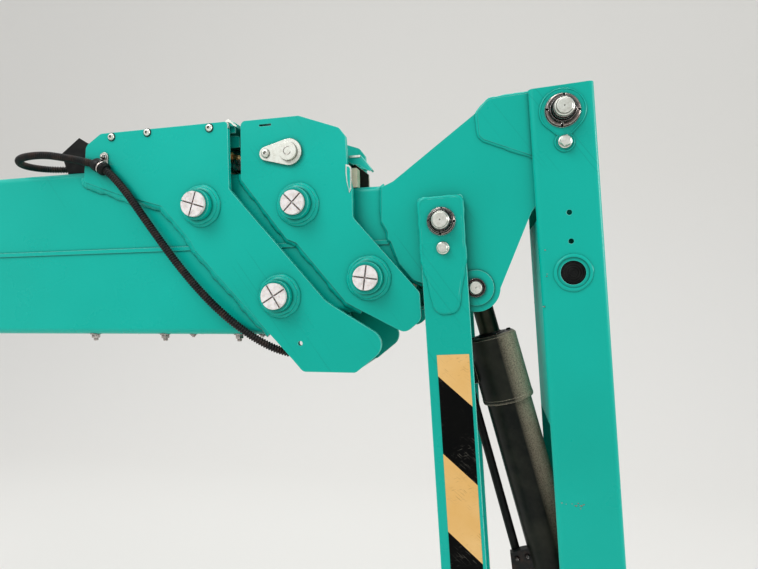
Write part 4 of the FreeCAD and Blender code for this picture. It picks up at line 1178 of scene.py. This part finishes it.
class BOOM_OT_collar_cavity(bpy.types.Operator):
    """Curved lip on the first collar's cover, strips and baffles behind it, and hoses with their block. The pale
    lip, its bright zinc edges and the pale baffles are painted highlight and painted light.
    """
    bl_idname = "boom.collar_cavity"
    bl_label = "Collar cavity"

    def execute(self, context):
        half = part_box("outer_collar_covers")[1].y
        lip = [(2.4440, 0.2140), (2.4490, 0.2178), (2.4530, 0.2200), (2.4560, 0.2193), (2.4600, 0.2160),
               (2.4640, 0.2120), (2.4690, 0.2085), (2.4690, 0.2058), (2.4630, 0.2088), (2.4590, 0.2128),
               (2.4530, 0.2155)]
        bare_and_highlit = [(2.4555, 0.2030), (2.4570, 0.2030), (2.4570, 0.2100), (2.4548, 0.2130)]
        strip = [(2.4000, 0.1765), (2.4640, 0.1765), (2.4640, 0.1945), (2.4600, 0.1965), (2.4000, 0.1965)]
        baffle = [(2.4400, 0.1985), (2.4625, 0.1985), (2.4625, 0.2070), (2.4560, 0.2115), (2.4400, 0.2125)]
        block = [(2.4480, 0.1370), (2.4640, 0.1370), (2.4640, 0.1530), (2.4620, 0.1560), (2.4500, 0.1560),
                 (2.4480, 0.1540)]
        edges, strips, baffles = [], [], []
        for side in (RIGHT, LEFT):
            # Painted highlight: bright zinc strips along the lip's edges.
            edges.append((bare_and_highlit, side * 0.080, -2.6 * MM, 2.6 * MM))
            edges.append((lip, side * (half - 0.2 * MM), -0.5 * MM, 0.5 * MM))
            strips.append((strip, side * 0.055, -1.5 * MM, 1.5 * MM))
            baffles.append((baffle, side * 0.066, -1 * MM, 1 * MM))
        # Pale enamel on the lip and the baffles: painted light.
        for name, material, plates in (
                ("cover_lip", "teal_enamel_worn_and_highlit_on_sheet", [(lip, 0, 0.5 * MM - half, half - 0.5 * MM)]),
                ("lip_highlight_edges", "zinc_plated_steel_turned", edges),
                ("cavity_strips", "teal_enamel_sprayed", strips),
                ("cavity_baffles", "teal_enamel_worn_and_highlit_on_sheet", baffles),
                ("hose_block", "steel_rubbed_bright", [(block, 0, -0.052, 0.052)])):
            plate_piece(name, "outer_boom", material, plates)
        self.hoses(context.scene.boom_sizes.hose_radius)
        return {"FINISHED"}

    def hoses(self, radius):
        """Four hoses, each with a ferrule, a nut and an elbow that runs down into the block."""
        hoses, ferrules = bmesh.new(), bmesh.new()
        for y in (-0.042, -0.018, 0.018, 0.042):
            route = [(2.300, y, 0.168), (2.360, y, 0.168), (2.405, y, 0.165), (2.436, y, 0.163)]
            round_tube(hoses, curve_points(route, 10), radius, 14)
            place = Matrix.Translation((2.434, y, 0.163)) @ Matrix.Rotation(math.pi / 2, 4, "Y")
            lathe(ferrules, place, [(radius + 0.8 * MM, -8 * MM), (radius + 1 * MM, 0.0),
                                    (6 * MM, 0.4 * MM)], 20)
            prism(ferrules, place, hexagon(17 * MM), 0.4 * MM, 9 * MM, 0.6 * MM)
            elbow = [(2.443, y, 0.163), (2.450, y, 0.1628), (2.4555, y, 0.161), (2.4565, y, 0.154)]
            round_tube(ferrules, curve_points(elbow, 10), 5 * MM, 14)
        finish_piece("cavity_hoses", hoses, "outer_boom", "black_rubber_moulded")
        finish_piece("hose_ferrules", ferrules, "outer_boom", "brass_turned")


class BOOM_OT_cylinder_details(bpy.types.Operator):
    """Wiper seal, gland screws and rim, and the port block with its screws on the jib cylinder"""
    bl_idname = "boom.cylinder_details"
    bl_label = "Cylinder details"

    def execute(self, context):
        low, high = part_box("rod_pin_middle")
        axis = ((low + high) / 2 - CYLINDER_FOOT).normalized()
        turn = axis.to_track_quat("Z", "Y").to_matrix().to_4x4()
        start, end = span_along("cylinder_gland", CYLINDER_FOOT, axis)
        bottom = Matrix.Translation(CYLINDER_FOOT + axis * start) @ turn
        top = Matrix.Translation(CYLINDER_FOOT + axis * end) @ turn
        rod, gland = ROD_RADIUS, GLAND_RADIUS

        wiper, screws, rim, ports = bmesh.new(), bmesh.new(), bmesh.new(), bmesh.new()
        lathe(wiper, top, [(rod + 8 * MM, -2 * MM), (rod + 8 * MM, 0.4 * MM), (rod + 6.5 * MM, 1.2 * MM),
                           (rod + 3 * MM, 1.6 * MM), (rod + 0.6 * MM, 4.0 * MM),
                           (rod + 0.2 * MM, 3.4 * MM)], 40)
        finish_piece("rod_wiper", wiper, "cylinder_barrel", "black_rubber_moulded")
        for x, y in arc((0.0, 0.0), 33 * MM, math.radians(20), math.pi / 2, 4):
            button_head(screws, top @ Matrix.Translation((x, y, 0)), 4 * MM, 2.4 * MM)
        finish_piece("gland_screws", screws, "cylinder_barrel", "steel_blacked_in_oil_and_painted_shade")
        lathe(rim, bottom, [(gland - 1.5 * MM, 0.4 * MM), (gland + 0.5 * MM, 1.8 * MM),
                            (gland + 0.5 * MM, 6.4 * MM), (gland - 0.6 * MM, 7.4 * MM)], 56)
        finish_piece("gland_rim", rim, "cylinder_barrel", "black_enamel_sprayed")

        block = [(2.9140, -0.5170), (2.9325, -0.5090), (2.9510, -0.5040), (2.9650, -0.5400),
                 (2.9300, -0.5500), (2.9170, -0.5460)]
        plate_piece("port_block", "cylinder_barrel", "black_polyamide_extruded",
                    [(block, -9 * MM, -6 * MM, 6 * MM)])
        for x, z in ((2.9250, -0.5240), (2.9415, -0.5185)):
            button_head(ports, outward(x, -15 * MM, z, RIGHT), 4 * MM, 3 * MM)
        finish_piece("port_screws", ports, "cylinder_barrel", "steel_blacked_in_oil_and_painted_shade")
        return {"FINISHED"}


class BOOM_OT_plugs(bpy.types.Operator):
    """Grooved faces of the black plugs in the jib arm, with the weld rings round them"""
    bl_idname = "boom.plugs"
    bl_label = "Plugs"

    def execute(self, context):
        for side, word in SIDES:
            low, high = solid_boxes("arm_plugs", side)[0]
            centre = (low + high) / 2
            radius = (high.x - low.x) / 2
            profile = [(radius - 0.2 * MM, -1 * MM), (radius - 0.3 * MM, 0.5 * MM)]
            for ridge in range(4):
                outer = radius * (0.93 - 0.2 * ridge)
                profile += [(outer, 1.3 * MM), (outer - 1.4 * MM, 1.3 * MM), (outer - 1.7 * MM, 0.3 * MM)]
            profile.append((radius * 0.14, 0.3 * MM))
            plug, bead = bmesh.new(), bmesh.new()
            lathe(plug, outward(centre.x, outer_face(low, high, side), centre.z, side), profile, 40)
            finish_piece("plug_face_" + word, plug, "jib_arm", "black_rubber_moulded")
            wall = plate_levels("arm_keyhole_pads", side)[1]
            weld_circle(bead, (centre.x, centre.z), radius + 6.5 * MM, wall, 4 * MM, 2.6 * MM)
            finish_piece("plug_weld_" + word, bead, "jib_arm", "teal_enamel_over_welds", 50)
        return {"FINISHED"}


class BOOM_OT_pad_visor(bpy.types.Operator):
    """Bent steel visor over the top slide pad, with pale edges as painted highlight, a black web beside it that is
    painted shade, and zinc strips along its top that are a painted highlight; the bead on the nose below it, with
    a bright zinc rim as painted highlight; and the two nylon blocks that it holds down"""
    bl_idname = "boom.pad_visor"
    bl_label = "Pad visor"

    def execute(self, context):
        body = "middle_boom"
        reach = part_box("middle_pad_keeper")[1].y
        bend = [(2.6040, 0.1475), (2.6820, 0.1475), (2.7010, 0.1225), (2.6985, 0.1205), (2.6805, 0.1440),
                (2.6040, 0.1440)]
        cheek = [(2.6100, 0.1470), (2.6818, 0.1470), (2.7006, 0.1223), (2.6970, 0.1200), (2.6890, 0.1240),
                 (2.6800, 0.1305), (2.6730, 0.1325), (2.6670, 0.1335), (2.6590, 0.1385), (2.6100, 0.1385)]
        flat = [(2.6040, 0.1475), (2.6700, 0.1475), (2.6700, 0.1440), (2.6040, 0.1440)]
        bridge = [(2.6040, 0.1385), (2.6620, 0.1385), (2.6620, 0.1425), (2.6040, 0.1425)]
        # Pale edges on the visor: wearing and painted highlight.
        visor = plate_piece("bent_pad_visor", body, "teal_enamel_worn_and_highlit_on_sheet", [
            (bend, 8 * MM - reach, -8 * MM, 8 * MM), (cheek, 1.5 * MM - reach, -1.6 * MM, 1.6 * MM),
            (flat, reach - 8 * MM, -8 * MM, 8 * MM), (bridge, 0, 10 * MM - reach, reach - 10 * MM)])
        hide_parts("middle_pad_keeper")
        # Painted shade: a black web that darkens the space beside the nylon block.
        web = [(2.6560, 0.0960), (2.6880, 0.0960), (2.6880, 0.1210), (2.6620, 0.1420), (2.6560, 0.1420)]
        plate_piece("visor_shade_web", body, "black_enamel_sprayed", [(web, -0.018, -2 * MM, 2 * MM)])
        # Painted highlight: bright zinc strips along the visor's top.
        highlight_strips = [[(start, 0.1440), (end, 0.1440), (end, 0.1476), (start, 0.1476)]
                 for start, end in ((2.6180, 2.6590), (2.6625, 2.6815))]
        plate_piece("visor_highlight_shims", body, "zinc_plated_steel_turned",
                    [(highlight_strip, -reach - 0.7 * MM, -0.7 * MM, 0.7 * MM) for highlight_strip in highlight_strips])

        nose = [(2.6619, 0.1283), (2.6616, 0.1147), (2.6629, 0.1009), (2.6673, 0.0810), (2.6705, 0.0882),
                (2.6712, 0.1035), (2.6712, 0.1231), (2.6674, 0.1271)]
        heart = (2.6665, 0.106)
        inner = [(heart[0] + (x - heart[0]) * 0.62, heart[1] + (z - heart[1]) * 0.86) for x, z in nose]
        # Painted highlight: a bright zinc rim round the nose bead.
        plate_piece("nose_bead_highlight", body, "zinc_plated_steel_turned", [(nose, -0.072, -1 * MM, 0.5 * MM)])
        plate_piece("nose_bead", body, "teal_enamel_worn_and_highlit_on_sheet", [(inner, -0.072, -1 * MM, 0.9 * MM)])

        low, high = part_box("middle_top_pad")
        rear, front, crown, chamfer = low.x + 7 * MM, high.x - 11 * MM, 0.1280, 1 * MM
        block = [(rear, low.z), (front - chamfer, low.z), (front, low.z + chamfer), (front, crown - chamfer),
                 (front - chamfer, crown), (rear, crown)]
        pads = plate_piece("nylon_top_blocks", body, "cream_nylon_milled",
                           [(block, side * 0.036, -9 * MM, 9 * MM) for side in (RIGHT, LEFT)])
        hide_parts("middle_top_pad")
        return {"FINISHED"}


class BOOM_OT_chips(bpy.types.Operator):
    """Small chips in the enamel of the arm, down to the primer"""
    bl_idname = "boom.chips"
    bl_label = "Enamel chips"

    def execute(self, context):
        # Place as (x, z), and half the length in millimetres
        spots = [
            (2.9886, -0.4020, 1.6), (2.9948, -0.4034, 1.2), (3.0032, -0.4022, 1.4), (3.0085, -0.4048, 2.4),
            (3.0120, -0.4012, 1.9), (3.0158, -0.4044, 2.6), (3.0194, -0.4022, 1.8), (3.0150, -0.4086, 1.4),
            (2.9682, -0.1080, 2.2), (2.9716, -0.0230, 1.8), (2.9733, -0.0625, 1.6), (2.9738, -0.0590, 1.1)]
        corners = 9
        for side, word in SIDES:
            wall = plate_levels("arm_keyhole_pads", side)[1]
            target = bmesh.new()
            for number, (x, z, size) in enumerate(spots):
                outline = []
                for i in range(corners):
                    turn = 2 * math.pi * i / corners
                    reach = size * MM * (0.75 + 0.3 * math.sin(2.3 * number + 1.9 * i))
                    outline.append((reach * math.cos(turn), 0.6 * reach * math.sin(turn)))
                prism(target, outward(x, wall, z, side), outline, -0.3 * MM, 0.12 * MM)
            finish_piece("enamel_chips_" + word, target, "jib_arm", "black_enamel_sprayed")
        return {"FINISHED"}


class BOOM_OT_stage(bpy.types.Operator):
    """Floor, backdrop, lamps and camera"""
    bl_idname = "boom.stage"
    bl_label = "Stage"

    def execute(self, context):
        scene = context.scene
        scene.view_settings.view_transform = "Standard"
        self.backdrop(scene)
        self.lamps(scene)
        data = bpy.data.cameras.new("camera")
        data.sensor_width = SENSOR_WIDTH
        data.lens = FOCAL_SHARE * SENSOR_WIDTH
        data.clip_start = 0.02
        camera = bpy.data.objects.new("camera", data)
        right = CAMERA_RIGHT.normalized()
        back = right.cross(-CAMERA_DOWN).normalized()
        up = back.cross(right)
        camera.matrix_world = Matrix((right, up, back)).transposed().to_4x4()
        camera.matrix_world.translation = CAMERA_PLACE
        scene.collection.objects.link(camera)
        scene.camera = camera
        return {"FINISHED"}

    def backdrop(self, scene):
        """One sheet of paper that runs from the floor up behind the boom in a wide bend."""
        material = new_material("backdrop_paper")[0]
        coat(material, {"Base Color": list(scene.boom_colours.backdrop), "Roughness": 0.95,
                        "Specular IOR Level": 0.1})
        target = bmesh.new()
        near, depth, bend, top = -60.0, 6.5, 3.2, 9.0
        ends, steps = (-70.0, 76.0), 24
        turned = arc((depth - bend, bend), bend, -math.pi / 2, math.pi / 2 / steps, steps + 1)
        rows = [(near, 0.0)] + turned + [(depth, top)]
        previous = None
        for y, z in rows:
            pair = [target.verts.new((x, y, FLOOR_LEVEL + z)) for x in ends]
            if previous:
                target.faces.new((previous[0], previous[1], pair[1], pair[0]))
            previous = pair
        mesh = bpy.data.meshes.new("backdrop")
        target.to_mesh(mesh)
        target.free()
        mesh.materials.append(material)
        mesh.shade_smooth()
        paper = bpy.data.objects.new("backdrop", mesh)
        scene.collection.objects.link(paper)

    def lamps(self, scene):
        """Pale surroundings, a wide soft lamp at the upper left, a weak sun from beyond the head that edges
        the forms, and a long lamp over the boom's nose."""
        world = bpy.data.worlds.new("studio")
        world.use_nodes = True
        scene.world = world
        sky = world.node_tree.nodes["Background"]
        sky.inputs["Color"].default_value = linear("#f3f5f7")
        sky.inputs["Strength"].default_value = 0.78
        # Name, kind, place, aim, power, and the sides of a rectangle or the sun's width in degrees
        table = [("key", "AREA", (0.7, -2.6, 3.4), (2.6, 0.0, 0.0), 125.0, (2.4, 2.4)),
                 ("edge", "SUN", (6.0, 0.0, 0.3), (3.0, 0.0, -0.2), 1.7, 20),
                 ("top", "AREA", (2.7, 0.6, 3.4), (2.7, 0.0, 0.1), 45.0, (3.0, 0.4))]
        for name, kind, place, aim, power, size in table:
            data = bpy.data.lights.new(name, kind)
            data.energy = power
            if kind == "SUN":
                data.angle = math.radians(size)
            else:
                data.shape = "RECTANGLE"
                data.size, data.size_y = size
            lamp = bpy.data.objects.new(name, data)
            lamp.location = place
            lamp.rotation_euler = (Vector(aim) - Vector(place)).to_track_quat("-Z", "Y").to_euler()
            lamp.visible_camera = False
            scene.collection.objects.link(lamp)


class BOOM_PT_panel(bpy.types.Panel):
    """Sizes, colours and pieces of the boom"""
    bl_idname = "BOOM_PT_panel"
    bl_label = "Boom and jib"
    bl_space_type = "VIEW_3D"
    bl_region_type = "UI"
    bl_category = "Boom"

    def draw(self, context):
        for group in (context.scene.boom_sizes, context.scene.boom_colours):
            for name in group.__annotations__:
                self.layout.prop(group, name)
        for operator in PIECES:
            self.layout.operator(operator.bl_idname)


PIECES = [BOOM_OT_finish_frame, BOOM_OT_stage, BOOM_OT_conduit, BOOM_OT_clip, BOOM_OT_welds,
          BOOM_OT_fasteners, BOOM_OT_pins, BOOM_OT_hazard_tape, BOOM_OT_flap, BOOM_OT_collar_cavity,
          BOOM_OT_cylinder_details, BOOM_OT_plugs, BOOM_OT_pad_visor, BOOM_OT_chips]
CLASSES = [BoomSizes, BoomColours] + PIECES + [BOOM_PT_panel]


def register():
    for item in CLASSES:
        bpy.utils.register_class(item)
    bpy.types.Scene.boom_sizes = bpy.props.PointerProperty(type=BoomSizes)
    bpy.types.Scene.boom_colours = bpy.props.PointerProperty(type=BoomColours)


def unregister():
    del bpy.types.Scene.boom_colours
    del bpy.types.Scene.boom_sizes
    for item in reversed(CLASSES):
        bpy.utils.unregister_class(item)


def main():
    register()
    for operator in PIECES:
        group, name = operator.bl_idname.split(".")
        getattr(getattr(bpy.ops, group), name)()


if __name__ == "__main__":
    main()
